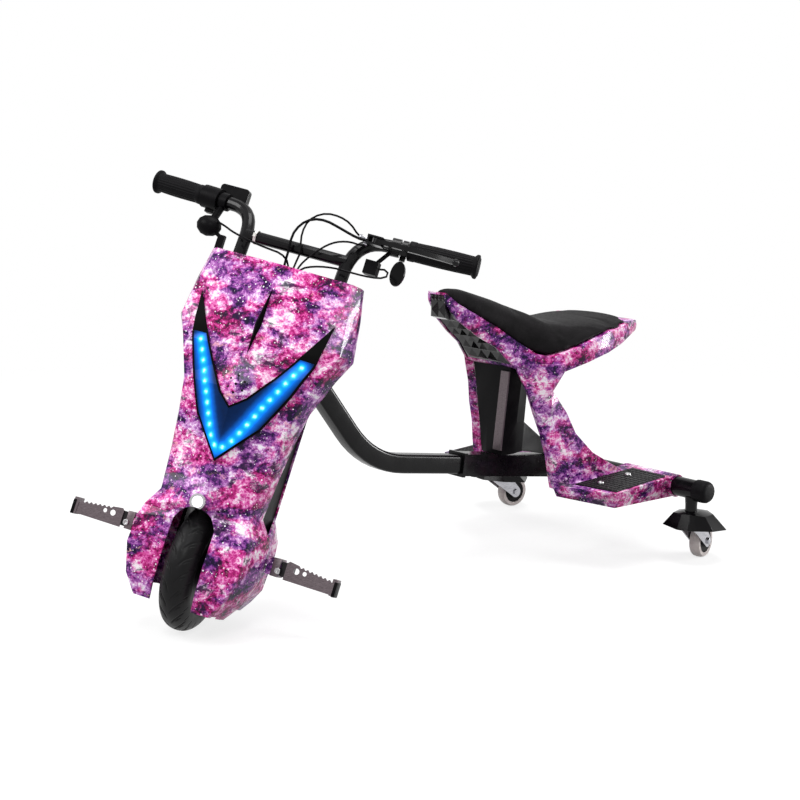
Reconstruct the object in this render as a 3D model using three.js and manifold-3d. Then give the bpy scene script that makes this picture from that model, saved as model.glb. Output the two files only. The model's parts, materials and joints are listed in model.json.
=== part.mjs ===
// Three-wheeled drifting scooter: a leaning steered front with a faceted fairing,
// a telescoping beam, a saddle on two twisted legs and two swivel casters.
// Millimetres, +Z up, the front towards -Y, the rider's left towards +X.
import * as THREE from 'three';
import { mergeVertices } from 'three/addons/utils/BufferGeometryUtils.js';
import { ConvexGeometry } from 'three/addons/geometries/ConvexGeometry.js';
import Module from 'manifold-3d';

const wasm = await Module();
wasm.setup();

// Clearances and cutting
const gap = 0.3;
const runningGap = 0.5;
const overrun = 60;

// Steering axis
const axisLean = THREE.MathUtils.degToRad(22.9);
const steerTurn = THREE.MathUtils.degToRad(35);
const axisGroundY = -55.6;

// Front wheel; its centre is given along the steering axis and forward of it
const wheel = {
  radius: 106, width: 52, rimRadius: 70, hubHalfWidth: 30, axleRadius: 6,
  along: 110, forward: 8, treadDepth: 30,
};
const treadRoundness = 2.2;

// Fairing, measured along the steering axis and forward of it
const fairing = {
  low: 43, height: 569, halfWidth: 150, depth: 118, wall: 3, edge: 20,
  slotSide: 10, slotDrop: 14, holePitch: 14, holeRadius: 1.6,
};
const fairingAt = (share) => fairing.low + fairing.height * share;
const fairingTop = fairingAt(1);
const slotHalf = wheel.width / 2 + fairing.slotSide;
const slotTop = wheel.along + wheel.radius - fairing.slotDrop;
const speakerShare = 0.666;
// Each row: height, outline half width, shoulder half width, ridge depth, shoulder depth, side depth
const fairingShares = [
  [0, 0.48, 0.43, 0.7, 0.68, 0.34], [0.052, 0.63, 0.56, 0.76, 0.75, 0.34], [0.135, 0.735, 0.645, 0.79, 0.78, 0.34],
  [0.215, 0.733, 0.635, 0.78, 0.75, 0.34], [0.247, 0.71, 0.605, 0.82, 0.7, 0.36],
  [0.3, 0.565, 0.505, 0.89, 0.63, 0.42], [0.42, 0.602, 0.548, 0.75, 0.57, 0.42],
  [0.525, 0.648, 0.598, 0.81, 0.57, 0.42], [0.62, 0.712, 0.66, 0.88, 0.58, 0.4],
  [0.73, 0.88, 0.818, 0.81, 0.57, 0.34], [0.793, 1, 0.92, 0.76, 0.55, 0.31], [0.91, 0.94, 0.865, 0.62, 0.5, 0.31],
  [1, 0.87, 0.79, 0.53, 0.46, 0.31],
];

// Black housing behind the front shell, and the printed rear shell around its back
const inner = { lowShare: 0.093, highShare: 0.62, back: 34 };
const tail = { edge: 36, corner: 38, depth: 70, topDepth: 46 };
const tailFlankShare = 0.78;
const tailNeckShare = 0.587;
// Each row: height, half width, and how far forward the edge comes, from the neck's edge to the front shell
const tailShares = [
  [0.033, 0.51, 1], [0.065, 0.596, 1], [0.107, 0.68, 1], [0.213, 0.7, 1], [0.248, 0.688, 1],
  [0.306, tailNeckShare, 0], [0.62, tailNeckShare, 0],
];
const innerHalf = fairing.halfWidth * tailNeckShare - fairing.wall - gap;
const innerLow = fairingAt(inner.lowShare);
const innerHigh = fairingAt(inner.highShare);

// Fork and steerer
const fork = {
  legThick: 6, legWide: 36, legInside: 40, tyreClear: 8, crownThick: 10,
  steererRadius: 12.5, nutRadius: 10, nutThick: 8, plateDrop: 48.5, plateThick: 9,
  plateHalfWidth: 101, plateDepth: 34,
};
const crownLow = wheel.along + wheel.radius + fork.tyreClear;
const plateLow = fairingTop - fork.plateDrop;

// Head tube, hung from the steering plate, and beam
const headTube = { outerRadius: 21, lowDrop: 101.5, highDrop: 3.5, meetDrop: 41.5 };
const beam = {
  tube: 34, corner: 6, sleeve: 40, collar: 44, collarLength: 7, mouth: 349,
  insertion: 180, boreEnd: 60, bendReach: 75, slope: THREE.MathUtils.degToRad(8.75),
  headSlope: THREE.MathUtils.degToRad(53.7),
};

// Cross tube and its casters
const cross = { radius: 18, y: 890, z: 138, halfLength: 295, capRadius: 20.5, capCrown: 9.5 };
const caster = {
  x: 263, wheelRadius: 31.75, wheelWidth: 20, hubRadius: 22.5, hubHalfWidth: 11,
  trail: 47, plateThick: 2.5, crownHigh: 70, crownLow: 66.5, crownHalf: 17, raceRadius: 16, raceHigh: 84,
  pinRadius: 5, pinHigh: 118, socketRadius: 11, socketLow: 93, flareRadius: 13, flareLow: 108,
  boltRadius: 4, headRadius: 6.5, headThick: 3.5, eyeRadius: 11.5,
  hoodFront: 36, hoodLength: 108, hoodHalfWidth: 55, hoodLow: 58, hoodHigh: 97, hoodWall: 3,
};
// Corners of the hood's rim, shoulder and roof on one side: along it, across it and up
const hoodShares = [
  [[0, 0.2, 0.24], [0.22, 0.93, 0.24], [0.69, 1, 0.06], [1, 0.38, 0.06]],
  [[0.13, 0.16, 0.94], [0.26, 0.58, 0.86], [0.54, 0.62, 0.84], [0.72, 0.26, 0.86]],
  [[0.19, 0.12, 1], [0.25, 0.26, 1], [0.42, 0.26, 1], [0.5, 0.12, 1]],
];
const casterTurns = { left: THREE.MathUtils.degToRad(105), right: THREE.MathUtils.degToRad(84) };

// Light, blade and lamp on the fairing
const light = { span: 115, back: 36, proud: 2.6, rim: 3.2 };
const lightLowShare = 0.4236;
const lightHeightShare = 0.4359;
const lightTipShare = 0.7522;
const lightLow = fairingAt(lightLowShare);
const lightHeight = fairing.height * lightHeightShare;
const lightTip = fairingAt(lightTipShare);
// Right half of the V from its bottom point, first the outside and then the inside
const lightOuterShares = [[0, 0], [0.226, 0.129], [0.452, 0.254], [0.722, 0.512], [0.904, 0.738], [1, 1]];
const lightInnerShares = [[0.757, 0.786], [0.487, 0.581], [0.217, 0.411], [0, 0.327]];
const blade = { halfWidth: 5.5, proud: 9 };
const bladeLowShare = 0.7223;
const bladeHighShare = 0.9332;
const bladeShoulderShare = 0.45;
const bladeLow = fairingAt(bladeLowShare);
const bladeHigh = fairingAt(bladeHighShare);
const speakerAlong = fairingAt(speakerShare);
const lamp = { lift: 9, ringRadius: 13, lensRadius: 9, depth: 14, ringDepth: 10, proud: 2.4, sunk: 0.6 };
const lampAlong = slotTop + lamp.lift;

// Pegs
const peg = {
  lift: 105, forward: 8, armHigh: 16, armDeep: 12, pivot: 126, bracketInside: 113, bracketEnd: 136,
  bracketHigh: 28, bracketDeep: 24, bracketWall: 3, boltRadius: 4, boltHeadRadius: 6.5, boltHead: 2.5,
  blockHigh: 24, blockEnd: 156, bladeStart: 145, bladeEnd: 227, bladeHigh: 31, bladeTip: 22, sheet: 2.5,
  tooth: 3.4, toothCount: 8, toothStart: 165, flange: 20, capLength: 6, capHigh: 26,
  bigHole: 5, smallHole: 3.6, holeStart: 163, holePitch: 14,
};
const pegAlong = fairing.low + peg.lift;

// Handlebar; heights of all that it carries are above the steering plate's underside
const bar = {
  radius: 11, crossRadius: 10, crossAbove: 86.5, gripStart: 33, throttleGap: 57, gripEnd: 147,
  gripRadius: 16, flangeRadius: 20, flangeThick: 4, ribDepth: 1.2, ribCount: 4,
};
const barCross = plateLow + bar.crossAbove;
const barFoot = { across: 89, forward: 30.4, above: 5.5 };
const barRise = { across: 89.5, forward: 22, above: 76.5 };
const barBend = { across: 92, forward: 12, above: 110.5 };
const barTurn = { across: 104, forward: -5.5, above: 132.7 };
const barOut = { across: 140, forward: -10.3, above: 134.6 };
const barEnd = { across: 289, forward: -30, above: 142.5 };

// What the bar carries
const throttle = { start: 24, end: 56, radius: 19.5, lugWide: 16, lugHigh: 25 };
const display = { wide: 52, high: 40, thick: 14, across: -152, forward: -37, above: 148.5, corner: 6 };
const pod = {
  clampStart: 8, clampEnd: 22, clampRadius: 15, across: -164, above: 87.5, forward: 2,
  radiusAcross: 22, radiusForward: 16, radiusAlong: 18, tabAcross: -136, tabWide: 12, tabDeep: 9, tabHigh: 26, tabAbove: 51.5,
};
const perch = {
  start: 4, end: 19, radius: 15.5, pivotAcross: 127, pivotForward: 30, above: 130, blockWide: 26,
  blockDeep: 20, blockHigh: 15, barrelRadius: 4.2, barrelLength: 13, pinRadius: 3,
};
const perchAlong = plateLow + perch.above;
const lever = {
  thick: 8, eyeRadius: 8.5, length: 137, ballRadius: 6.5, rise: 4, bladeWide: 11, bow: 5, slotHigh: 9,
};
const bell = {
  start: 22, end: 31, radius: 15, halfWide: 12, halfHigh: 21, thick: 8, stem: 5, drop: 20,
};
const horn = { across: 129, above: 88.5, forward: 12, wide: 22, high: 23, deep: 20, hanger: 7 };
const hornAlong = plateLow + horn.above;

// Cords
const cord = { thin: 1.7, thick: 2.2, sides: 8, steps: 18 };

// Saddle
const seat = {
  nose: 498, length: 457, halfWidth: 122, low: 351, rise: 157, wall: 5, recess: 8, cushionInset: 3,
};
const frontBayShare = 0.2823;
const rearBayShares = [0.4683, 0.9453];
const frontBay = seat.nose + seat.length * frontBayShare;
const [rearBay, rearBayEnd] = rearBayShares.map((share) => seat.nose + seat.length * share);
// Each row: place along, half width, top edge, lower edge
const bandShares = [
  [0, 0.2, 1, 0.89], [0.05, 0.26, 0.873, 0.682], [0.127, 0.345, 0.733, 0.497], [0.21, 0.45, 0.58, 0.338],
  [0.287, 0.56, 0.41, 0.096], [0.363, 0.72, 0.247, 0], [0.41, 0.84, 0.217, 0], [0.451, 0.92, 0.242, 0.019],
  [0.573, 1, 0.338, 0.108], [0.7, 0.985, 0.435, 0.19], [0.792, 0.93, 0.467, 0.265], [0.875, 0.81, 0.505, 0.33],
  [0.95, 0.66, 0.49, 0.363], [1, 0.42, 0.42, 0.37],
];
// Each row: place along, half width, crown, how round the section is
const cushionShares = [
  [0.012, 0.11, 0.99, 2.2], [0.022, 0.16, 1.02, 2.2], [0.05, 0.215, 1.035, 2.2], [0.11, 0.3, 1.01, 2.2],
  [0.18, 0.395, 0.94, 2.2], [0.26, 0.5, 0.86, 2.2], [0.34, 0.65, 0.77, 2.2], [0.41, 0.8, 0.69, 2.4],
  [0.48, 0.91, 0.59, 2.3], [0.57, 0.965, 0.545, 2.4], [0.67, 0.97, 0.535, 2.5], [0.77, 0.94, 0.535, 2.6],
  [0.84, 0.82, 0.545, 2.8], [0.88, 0.66, 0.552, 2.6], [0.9, 0.48, 0.545, 2.4], [0.91, 0.3, 0.538, 2.2],
];

// Faceted front panel under the saddle
const panel = { thick: 5, height: 7, pitch: 25, inset: 1 };
const noseShares = [0.713, 0.892];
const [noseLow, noseMiddle] = noseShares.map((share) => seat.low + seat.rise * share);

// Column, strap and gusset
const column = { front: 631, depth: 58, low: 198, topHalf: 53, footHalf: 29, high: 372, ridge: 5 };
const strap = { wide: 21, thick: 3.5, low: 208, high: 357 };
const gusset = { high: 262, halfWide: 20, endHalf: 12, reach: 100, endHigh: 9 };

// Legs and feet; the rows run up the leg: height, then front, ridge and rear edges
const leg = { low: 140, height: 232, across: 135, along: 862, thick: 16, bulge: 7 };
const legShares = [
  [0, 0.79, 0.802, 0.1, 1, 1], [0.09, 0.778, 0.798, 0.14, 0.985, 0.972], [0.26, 0.763, 0.79, 0.12, 0.92, 0.896],
  [0.43, 0.711, 0.78, 0.16, 0.852, 0.854], [0.6, 0.667, 0.765, 0.5, 0.8, 0.834],
  [0.78, 0.593, 0.751, 0.84, 0.756, 0.799], [0.93, 0.526, 0.733, 0.9, 0.852, 0.817],
  [1, 0.515, 0.728, 0.9, 0.86, 0.82],
];
const foot = {
  inner: 102, outer: 229, front: 690, frontOuter: 722, low: 118, top: 146.5, rearTop: 158, rearInner: 100,
  rearOuter: 228, rearLow: 115, coat: 3, bottomInset: 14, heelRise: 9,
};
const pad = {
  frontInner: 131, frontOuter: 223, frontInnerY: 721, frontOuterY: 730, rearInner: 138, rearOuter: 219,
  rearY: 866, proud: 1.6, sink: 2.4,
};
const sleeveBolt = { radius: 4, headRadius: 7, head: 4, inset: 49 };
const boltPlace = sleeveBolt.inset - beam.mouth;

const finishes = {
  printed: new THREE.MeshStandardMaterial({ color: 0xb04fb4, roughness: 0.2, metalness: 0 }),
  blackPlastic: new THREE.MeshStandardMaterial({ color: 0x141316, roughness: 0.45, metalness: 0 }),
  blackPaint: new THREE.MeshStandardMaterial({ color: 0x0e0d10, roughness: 0.3, metalness: 0.1 }),
  rubber: new THREE.MeshStandardMaterial({ color: 0x161616, roughness: 0.85, metalness: 0 }),
  leather: new THREE.MeshStandardMaterial({ color: 0x2a282b, roughness: 0.6, metalness: 0 }),
  steel: new THREE.MeshStandardMaterial({ color: 0x77737a, roughness: 0.4, metalness: 0.8 }),
  chrome: new THREE.MeshStandardMaterial({ color: 0xc8c8cc, roughness: 0.15, metalness: 1 }),
  white: new THREE.MeshStandardMaterial({ color: 0xece4e2, roughness: 0.5, metalness: 0 }),
  blueLens: new THREE.MeshStandardMaterial({ color: 0x1e8fe6, roughness: 0.2, metalness: 0 }),
  lampLens: new THREE.MeshStandardMaterial({ color: 0xffffff, roughness: 0.2, metalness: 0 }),
};

// A closed geometry as a solid that can be cut and joined
function solid(geometry) {
  const bare = geometry.clone();
  bare.deleteAttribute('normal');
  bare.deleteAttribute('uv');
  const merged = mergeVertices(bare);
  const triangles = merged.index ? merged.index.array : merged.attributes.position.array.map((_, i) => i);
  return new wasm.Manifold(new wasm.Mesh({
    numProp: 3,
    vertProperties: new Float32Array(merged.attributes.position.array),
    triVerts: new Uint32Array(triangles),
  }));
}

function geometryOf(body) {
  const mesh = body.getMesh();
  const geometry = new THREE.BufferGeometry();
  geometry.setAttribute('position', new THREE.BufferAttribute(new Float32Array(mesh.vertProperties), 3));
  geometry.setIndex(new THREE.BufferAttribute(new Uint32Array(mesh.triVerts), 1));
  geometry.computeVertexNormals();
  return geometry;
}

function piece(name, body, finish) {
  const mesh = new THREE.Mesh(geometryOf(body), finishes[finish]);
  mesh.name = name;
  return mesh;
}

function moved(body, matrix) {
  return solid(geometryOf(body).applyMatrix4(matrix));
}

function mirrored(body) {
  return body.mirror([1, 0, 0]);
}

function joined(bodies) {
  return bodies.reduce((sum, body) => sum.add(body));
}

function box(low, high) {
  const size = high.clone().sub(low);
  const centre = low.clone().add(high).multiplyScalar(0.5);
  return solid(new THREE.BoxGeometry(size.x, size.y, size.z).translate(centre.x, centre.y, centre.z));
}

function hull(points) {
  return solid(new ConvexGeometry(points));
}

// A rod between two points, as wide at its end as asked
function rod(start, end, radius, sides = 20, endRadius = radius) {
  const way = end.clone().sub(start);
  const geometry = new THREE.CylinderGeometry(endRadius, radius, way.length(), sides);
  geometry.applyQuaternion(new THREE.Quaternion().setFromUnitVectors(
    new THREE.Vector3(0, 1, 0), way.clone().normalize()));
  const middle = start.clone().add(end).multiplyScalar(0.5);
  return solid(geometry.translate(middle.x, middle.y, middle.z));
}

function ball(centre, radius, sides = 16) {
  return solid(new THREE.SphereGeometry(radius, sides, sides / 2).translate(centre.x, centre.y, centre.z));
}

// A turned profile of [radius, place] pairs about the line from start towards end
function turned(profile, start, end, sides) {
  const points = profile.map(([radius, place]) => new THREE.Vector2(radius, place));
  const geometry = new THREE.LatheGeometry(points, sides);
  const way = end.clone().sub(start).normalize();
  geometry.applyQuaternion(new THREE.Quaternion().setFromUnitVectors(new THREE.Vector3(0, 1, 0), way));
  return solid(geometry.translate(start.x, start.y, start.z));
}

function circleShape(radius, sides) {
  const points = [];
  for (let i = 0; i < sides; i += 1) {
    const angle = (2 * Math.PI * i) / sides;
    points.push(new THREE.Vector2(radius * Math.cos(angle), radius * Math.sin(angle)));
  }
  return new THREE.Shape(points);
}

function roundedSquare(size, corner) {
  const half = size / 2;
  const shape = new THREE.Shape();
  shape.moveTo(half - corner, -half);
  shape.absarc(half - corner, corner - half, corner, -Math.PI / 2, 0);
  shape.absarc(half - corner, half - corner, corner, 0, Math.PI / 2);
  shape.absarc(corner - half, half - corner, corner, Math.PI / 2, Math.PI);
  shape.absarc(corner - half, corner - half, corner, Math.PI, 1.5 * Math.PI);
  return shape;
}

// A path with one station at each given point, so straights need no steps
class StationPath extends THREE.Curve {
  constructor(points) {
    super();
    this.points = points;
  }

  getPoint(share) {
    const place = share * (this.points.length - 1);
    const index = Math.min(Math.floor(place + 1e-6), this.points.length - 2);
    return this.points[index].clone().lerp(this.points[index + 1], place - index);
  }

  getPointAt(share) {
    return this.getPoint(share);
  }

  getTangentAt(share) {
    const index = Math.round(share * (this.points.length - 1));
    const before = this.points[Math.max(index - 1, 0)];
    const here = this.points[index];
    const after = this.points[Math.min(index + 1, this.points.length - 1)];
    const arriving = here.clone().sub(before).normalize();
    const leaving = after.clone().sub(here).normalize();
    return arriving.add(leaving).normalize();
  }
}

function swept(shape, points, curveSegments = 2) {
  return solid(new THREE.ExtrudeGeometry(shape, {
    steps: points.length - 1, curveSegments, bevelEnabled: false, extrudePath: new StationPath(points),
  }));
}

function extruded(shape, depth, curveSegments = 8) {
  return new THREE.ExtrudeGeometry(shape, { depth, curveSegments, bevelEnabled: false, steps: 1 });
}

// The triangles that close a ring, turned the same way round as the ring
function capFaces(ring) {
  const normal = new THREE.Vector3();
  ring.forEach((point, i) => {
    normal.add(new THREE.Vector3().crossVectors(point, ring[(i + 1) % ring.length]));
  });
  normal.normalize();
  const across = new THREE.Vector3(1, 0, 0);
  if (Math.abs(normal.x) > 0.9) across.set(0, 1, 0);
  across.addScaledVector(normal, -across.dot(normal)).normalize();
  const up = new THREE.Vector3().crossVectors(normal, across);
  const flat = ring.map((point) => new THREE.Vector2(point.dot(across), point.dot(up)));
  const faces = THREE.ShapeUtils.triangulateShape(flat, []);
  return faces.map(([a, b, c]) => {
    const area = (flat[b].x - flat[a].x) * (flat[c].y - flat[a].y) - (flat[c].x - flat[a].x) * (flat[b].y - flat[a].y);
    return area > 0 ? [a, b, c] : [a, c, b];
  });
}

// A closed solid through rings of equally many points
function loft(rings) {
  const count = rings[0].length;
  const faces = [];
  for (let i = 0; i + 1 < rings.length; i += 1) {
    for (let j = 0; j < count; j += 1) {
      const a = i * count + j;
      const b = i * count + ((j + 1) % count);
      faces.push(a, b, b + count, a, b + count, a + count);
    }
  }
  const last = (rings.length - 1) * count;
  capFaces(rings[0]).forEach(([a, b, c]) => faces.push(a, c, b));
  capFaces(rings[rings.length - 1]).forEach(([a, b, c]) => faces.push(last + a, last + b, last + c));
  const points = rings.flat();
  let volume = 0;
  for (let i = 0; i < faces.length; i += 3) {
    const [a, b, c] = [points[faces[i]], points[faces[i + 1]], points[faces[i + 2]]];
    volume += a.dot(new THREE.Vector3().crossVectors(b, c));
  }
  if (volume < 0) faces.reverse();
  const geometry = new THREE.BufferGeometry().setFromPoints(points);
  geometry.setIndex(faces);
  return solid(geometry);
}

// A table of shares read at any place along its first column
function readTable(table, place, columnIndex) {
  let i = 0;
  while (i + 2 < table.length && place > table[i + 1][0]) i += 1;
  const from = table[i];
  const to = table[i + 1];
  const share = Math.min(1, Math.max(0, (place - from[0]) / (to[0] - from[0])));
  return from[columnIndex] + share * (to[columnIndex] - from[columnIndex]);
}

// In the steered front, places are given across, forward of the axis and along it
function at(across, forward, along) {
  return new THREE.Vector3(across, -forward, along);
}

const leanMatrix = new THREE.Matrix4().makeTranslation(0, axisGroundY, 0)
  .multiply(new THREE.Matrix4().makeRotationX(-axisLean));
const beamMatrix = new THREE.Matrix4().makeTranslation(0, cross.y, cross.z)
  .multiply(new THREE.Matrix4().makeRotationX(-beam.slope));

// Rear frame

function beamBlock(half, from, to) {
  return box(new THREE.Vector3(-half, from, -half), new THREE.Vector3(half, to, half));
}

function beamSleeve() {
  const half = beam.sleeve / 2;
  const boreHalf = beam.tube / 2 + gap;
  const body = beamBlock(half, -beam.mouth, 0).add(
    beamBlock(beam.collar / 2, -beam.mouth, beam.collarLength - beam.mouth));
  const bore = solid(extruded(roundedSquare(boreHalf * 2, beam.corner), beam.mouth - beam.boreEnd + overrun)
    .rotateX(Math.PI / 2).translate(0, -beam.boreEnd, 0));
  const seatCut = rod(new THREE.Vector3(-overrun, 0, 0), new THREE.Vector3(overrun, 0, 0), cross.radius + gap, 20);
  const boltCut = rod(
    new THREE.Vector3(0, boltPlace, -overrun), new THREE.Vector3(0, boltPlace, 0),
    sleeveBolt.radius + gap);
  return body.subtract(bore).subtract(seatCut).subtract(boltCut);
}

function clampBolt() {
  const under = -beam.sleeve / 2 - gap;
  const top = -beam.tube / 2 - gap;
  const shank = rod(
    new THREE.Vector3(0, boltPlace, under - sleeveBolt.head / 2), new THREE.Vector3(0, boltPlace, top),
    sleeveBolt.radius, 16);
  const head = rod(
    new THREE.Vector3(0, boltPlace, under - sleeveBolt.head), new THREE.Vector3(0, boltPlace, under),
    sleeveBolt.headRadius, 6);
  return shank.add(head);
}

function crossTube() {
  const tube = rod(
    new THREE.Vector3(-cross.halfLength, cross.y, cross.z), new THREE.Vector3(cross.halfLength, cross.y, cross.z),
    cross.radius, 20);
  const sockets = [-caster.x, caster.x].map((x) => {
    const straight = rod(
      new THREE.Vector3(x, cross.y, caster.socketLow), new THREE.Vector3(x, cross.y, cross.z),
      caster.socketRadius);
    const flare = rod(
      new THREE.Vector3(x, cross.y, caster.flareLow), new THREE.Vector3(x, cross.y, cross.z),
      caster.socketRadius, 20, caster.flareRadius);
    return straight.add(flare);
  });
  const bores = [-caster.x, caster.x].map((x) => rod(
    new THREE.Vector3(x, cross.y, caster.socketLow - overrun),
    new THREE.Vector3(x, cross.y, caster.pinHigh + runningGap), caster.pinRadius + runningGap, 20));
  return joined([tube, ...sockets]).subtract(joined(bores));
}

function tubeCap(side) {
  const start = caster.x + caster.flareRadius + runningGap;
  const mouthRadius = cross.radius + gap * 2;
  const flat = cross.halfLength + gap;
  const round = cross.capCrown;
  const end = flat + cross.capCrown;
  const profile = [[mouthRadius, 0], [cross.capRadius, 0], [cross.capRadius, flat - start]];
  const arcSteps = 4;
  for (let i = 1; i <= arcSteps; i += 1) {
    const angle = (Math.PI / 2) * (i / arcSteps);
    profile.push([
      cross.capRadius - round + round * Math.cos(angle), flat - start + (end - flat) * Math.sin(angle)]);
  }
  profile.push([0, end - start], [0, flat - start], [mouthRadius, flat - start], [mouthRadius, 0]);
  return turned(
    profile, new THREE.Vector3(side * start, cross.y, cross.z), new THREE.Vector3(side * end, cross.y, cross.z), 16);
}

// Caster parts are made around the swivel's axis, trailing along their own +X

function casterFork() {
  const axleX = caster.trail;
  const axleZ = caster.wheelRadius;
  const inside = caster.hubHalfWidth + runningGap * 2;
  const outside = inside + caster.plateThick;
  const crown = box(
    new THREE.Vector3(-caster.crownHalf, -outside, caster.crownLow),
    new THREE.Vector3(caster.crownHalf + caster.trail / 4, outside, caster.crownHigh));
  const race = rod(
    new THREE.Vector3(0, 0, caster.crownLow), new THREE.Vector3(0, 0, caster.raceHigh), caster.raceRadius, 24);
  const pin = rod(
    new THREE.Vector3(0, 0, caster.crownLow), new THREE.Vector3(0, 0, caster.pinHigh), caster.pinRadius, 20);
  const eyeStart = THREE.MathUtils.degToRad(40);
  const eyeEnd = THREE.MathUtils.degToRad(-125);
  const plates = [inside, -outside].map((y) => {
    const shape = new THREE.Shape();
    shape.moveTo(-caster.crownHalf, caster.crownHigh);
    shape.lineTo(caster.crownHalf + caster.trail / 4, caster.crownHigh);
    shape.absarc(axleX, axleZ, caster.eyeRadius, eyeStart, eyeEnd, true);
    shape.lineTo(-caster.crownHalf, caster.crownLow);
    return solid(extruded(shape, caster.plateThick).rotateX(Math.PI / 2).translate(0, y + caster.plateThick, 0));
  });
  const head = outside + caster.headThick;
  const bolt = rod(
    new THREE.Vector3(axleX, -outside, axleZ), new THREE.Vector3(axleX, outside, axleZ), caster.boltRadius, 16);
  const heads = [[-head, caster.plateThick - outside], [outside - caster.plateThick, head]].map(([from, to]) => rod(
    new THREE.Vector3(axleX, from, axleZ), new THREE.Vector3(axleX, to, axleZ), caster.headRadius, 6));
  return joined([crown, race, pin, ...plates, bolt, ...heads]);
}

function casterTyre() {
  const half = caster.wheelWidth / 2;
  const inside = caster.hubRadius + gap;
  const shoulder = half * 0.55;
  const drop = caster.wheelWidth * 0.12;
  const profile = [
    [inside, -half], [caster.wheelRadius - drop, -half], [caster.wheelRadius - drop * 0.3, -shoulder - drop / 2],
    [caster.wheelRadius, -shoulder / 2], [caster.wheelRadius, shoulder / 2],
    [caster.wheelRadius - drop * 0.3, shoulder + drop / 2],
    [caster.wheelRadius - drop, half], [inside, half], [inside, -half],
  ];
  const centre = new THREE.Vector3(caster.trail, 0, caster.wheelRadius);
  return turned(profile, centre, centre.clone().add(new THREE.Vector3(0, 1, 0)), 24);
}

function casterHub() {
  const half = caster.hubHalfWidth;
  const bore = caster.boltRadius + gap;
  const boss = caster.headRadius;
  const web = half * 0.8;
  const profile = [
    [bore, -half], [boss, -half], [boss, -web], [caster.hubRadius, -web], [caster.hubRadius, web],
    [boss, web], [boss, half], [bore, half], [bore, -half],
  ];
  const centre = new THREE.Vector3(caster.trail, 0, caster.wheelRadius);
  return turned(profile, centre, centre.clone().add(new THREE.Vector3(0, 1, 0)), 18);
}

// Eight-sided hood over the swivel and the wheel, carried on the fork's crown
function casterHood() {
  const block = (inset, drop) => loft(hoodShares.map((corners) => {
    const place = ([alongShare, acrossShare, upShare], side) => new THREE.Vector3(
      inset - caster.hoodFront + (caster.hoodLength - inset * 2) * alongShare,
      side * (caster.hoodHalfWidth - inset) * acrossShare,
      caster.hoodLow - drop + (caster.hoodHigh - caster.hoodLow) * upShare);
    const right = corners.map((corner) => place(corner, 1));
    const left = [...corners].reverse().map((corner) => place(corner, -1));
    return [...right, ...left];
  }));
  const collarRadius = caster.raceRadius + runningGap;
  const collar = rod(
    new THREE.Vector3(0, 0, caster.crownHigh + gap), new THREE.Vector3(0, 0, caster.hoodHigh - caster.hoodWall),
    collarRadius + caster.hoodWall, 20);
  const raceCut = rod(
    new THREE.Vector3(0, 0, caster.hoodLow - overrun), new THREE.Vector3(0, 0, caster.raceHigh + runningGap),
    collarRadius, 20);
  const hole = rod(
    new THREE.Vector3(0, 0, caster.hoodLow), new THREE.Vector3(0, 0, caster.hoodHigh + overrun),
    caster.socketRadius + runningGap, 20);
  return block(0, 0).subtract(block(caster.hoodWall, caster.hoodWall)).add(collar).subtract(raceCut).subtract(hole);
}

// Saddle

function bandRing(share, insetSide, liftTop, liftLow) {
  const y = seat.nose + seat.length * share;
  const half = seat.halfWidth * readTable(bandShares, share, 1) - insetSide;
  const high = seat.low + seat.rise * readTable(bandShares, share, 2) + liftTop;
  const low = seat.low + seat.rise * readTable(bandShares, share, 3) + liftLow;
  const tuck = half * 0.97;
  const middle = (high + low) / 2;
  return [
    new THREE.Vector3(-tuck, y, low), new THREE.Vector3(tuck, y, low), new THREE.Vector3(half, y, middle),
    new THREE.Vector3(tuck, y, high), new THREE.Vector3(-tuck, y, high), new THREE.Vector3(-half, y, middle),
  ];
}

function seatBlock(grow = 0) {
  return loft(bandShares.map(([share]) => bandRing(share, -grow, grow, -grow)));
}

// The space inside the band's skirts, between two places along the seat
function bay(fromY, toY, inset, liftTop, liftLow) {
  const shares = [fromY, toY].map((y) => (y - seat.nose) / seat.length);
  const inside = bandShares.map(([share]) => share).filter((share) => share > shares[0] && share < shares[1]);
  const rings = [shares[0], ...inside, shares[1]].map((share) => {
    const ring = bandRing(share, inset, 0, 0);
    const low = ring[0].z;
    return [
      new THREE.Vector3(ring[0].x, ring[0].y, low + liftLow), new THREE.Vector3(ring[1].x, ring[1].y, low + liftLow),
      new THREE.Vector3(ring[1].x, ring[1].y, low + liftTop), new THREE.Vector3(ring[0].x, ring[0].y, low + liftTop),
    ];
  });
  return loft(rings);
}

function noseRecess(inset) {
  const half = seat.halfWidth * bandShares[0][1] - seat.wall + inset;
  return box(
    new THREE.Vector3(-half, seat.nose - overrun, noseLow - overrun),
    new THREE.Vector3(half, seat.nose + panel.thick + inset, seat.low + seat.rise - seat.wall + inset));
}

function seatShell() {
  return seatBlock()
    .subtract(bay(seat.nose - seat.wall, frontBay, seat.wall, seat.recess, -overrun))
    .subtract(bay(rearBay, rearBayEnd, seat.wall, seat.recess, -overrun))
    .subtract(noseRecess(0));
}

// A four-sided point on a small flat cell
function spike(corners, apex, sink) {
  return hull([...corners, ...corners.map((corner) => corner.clone().add(sink)), apex]);
}

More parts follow.
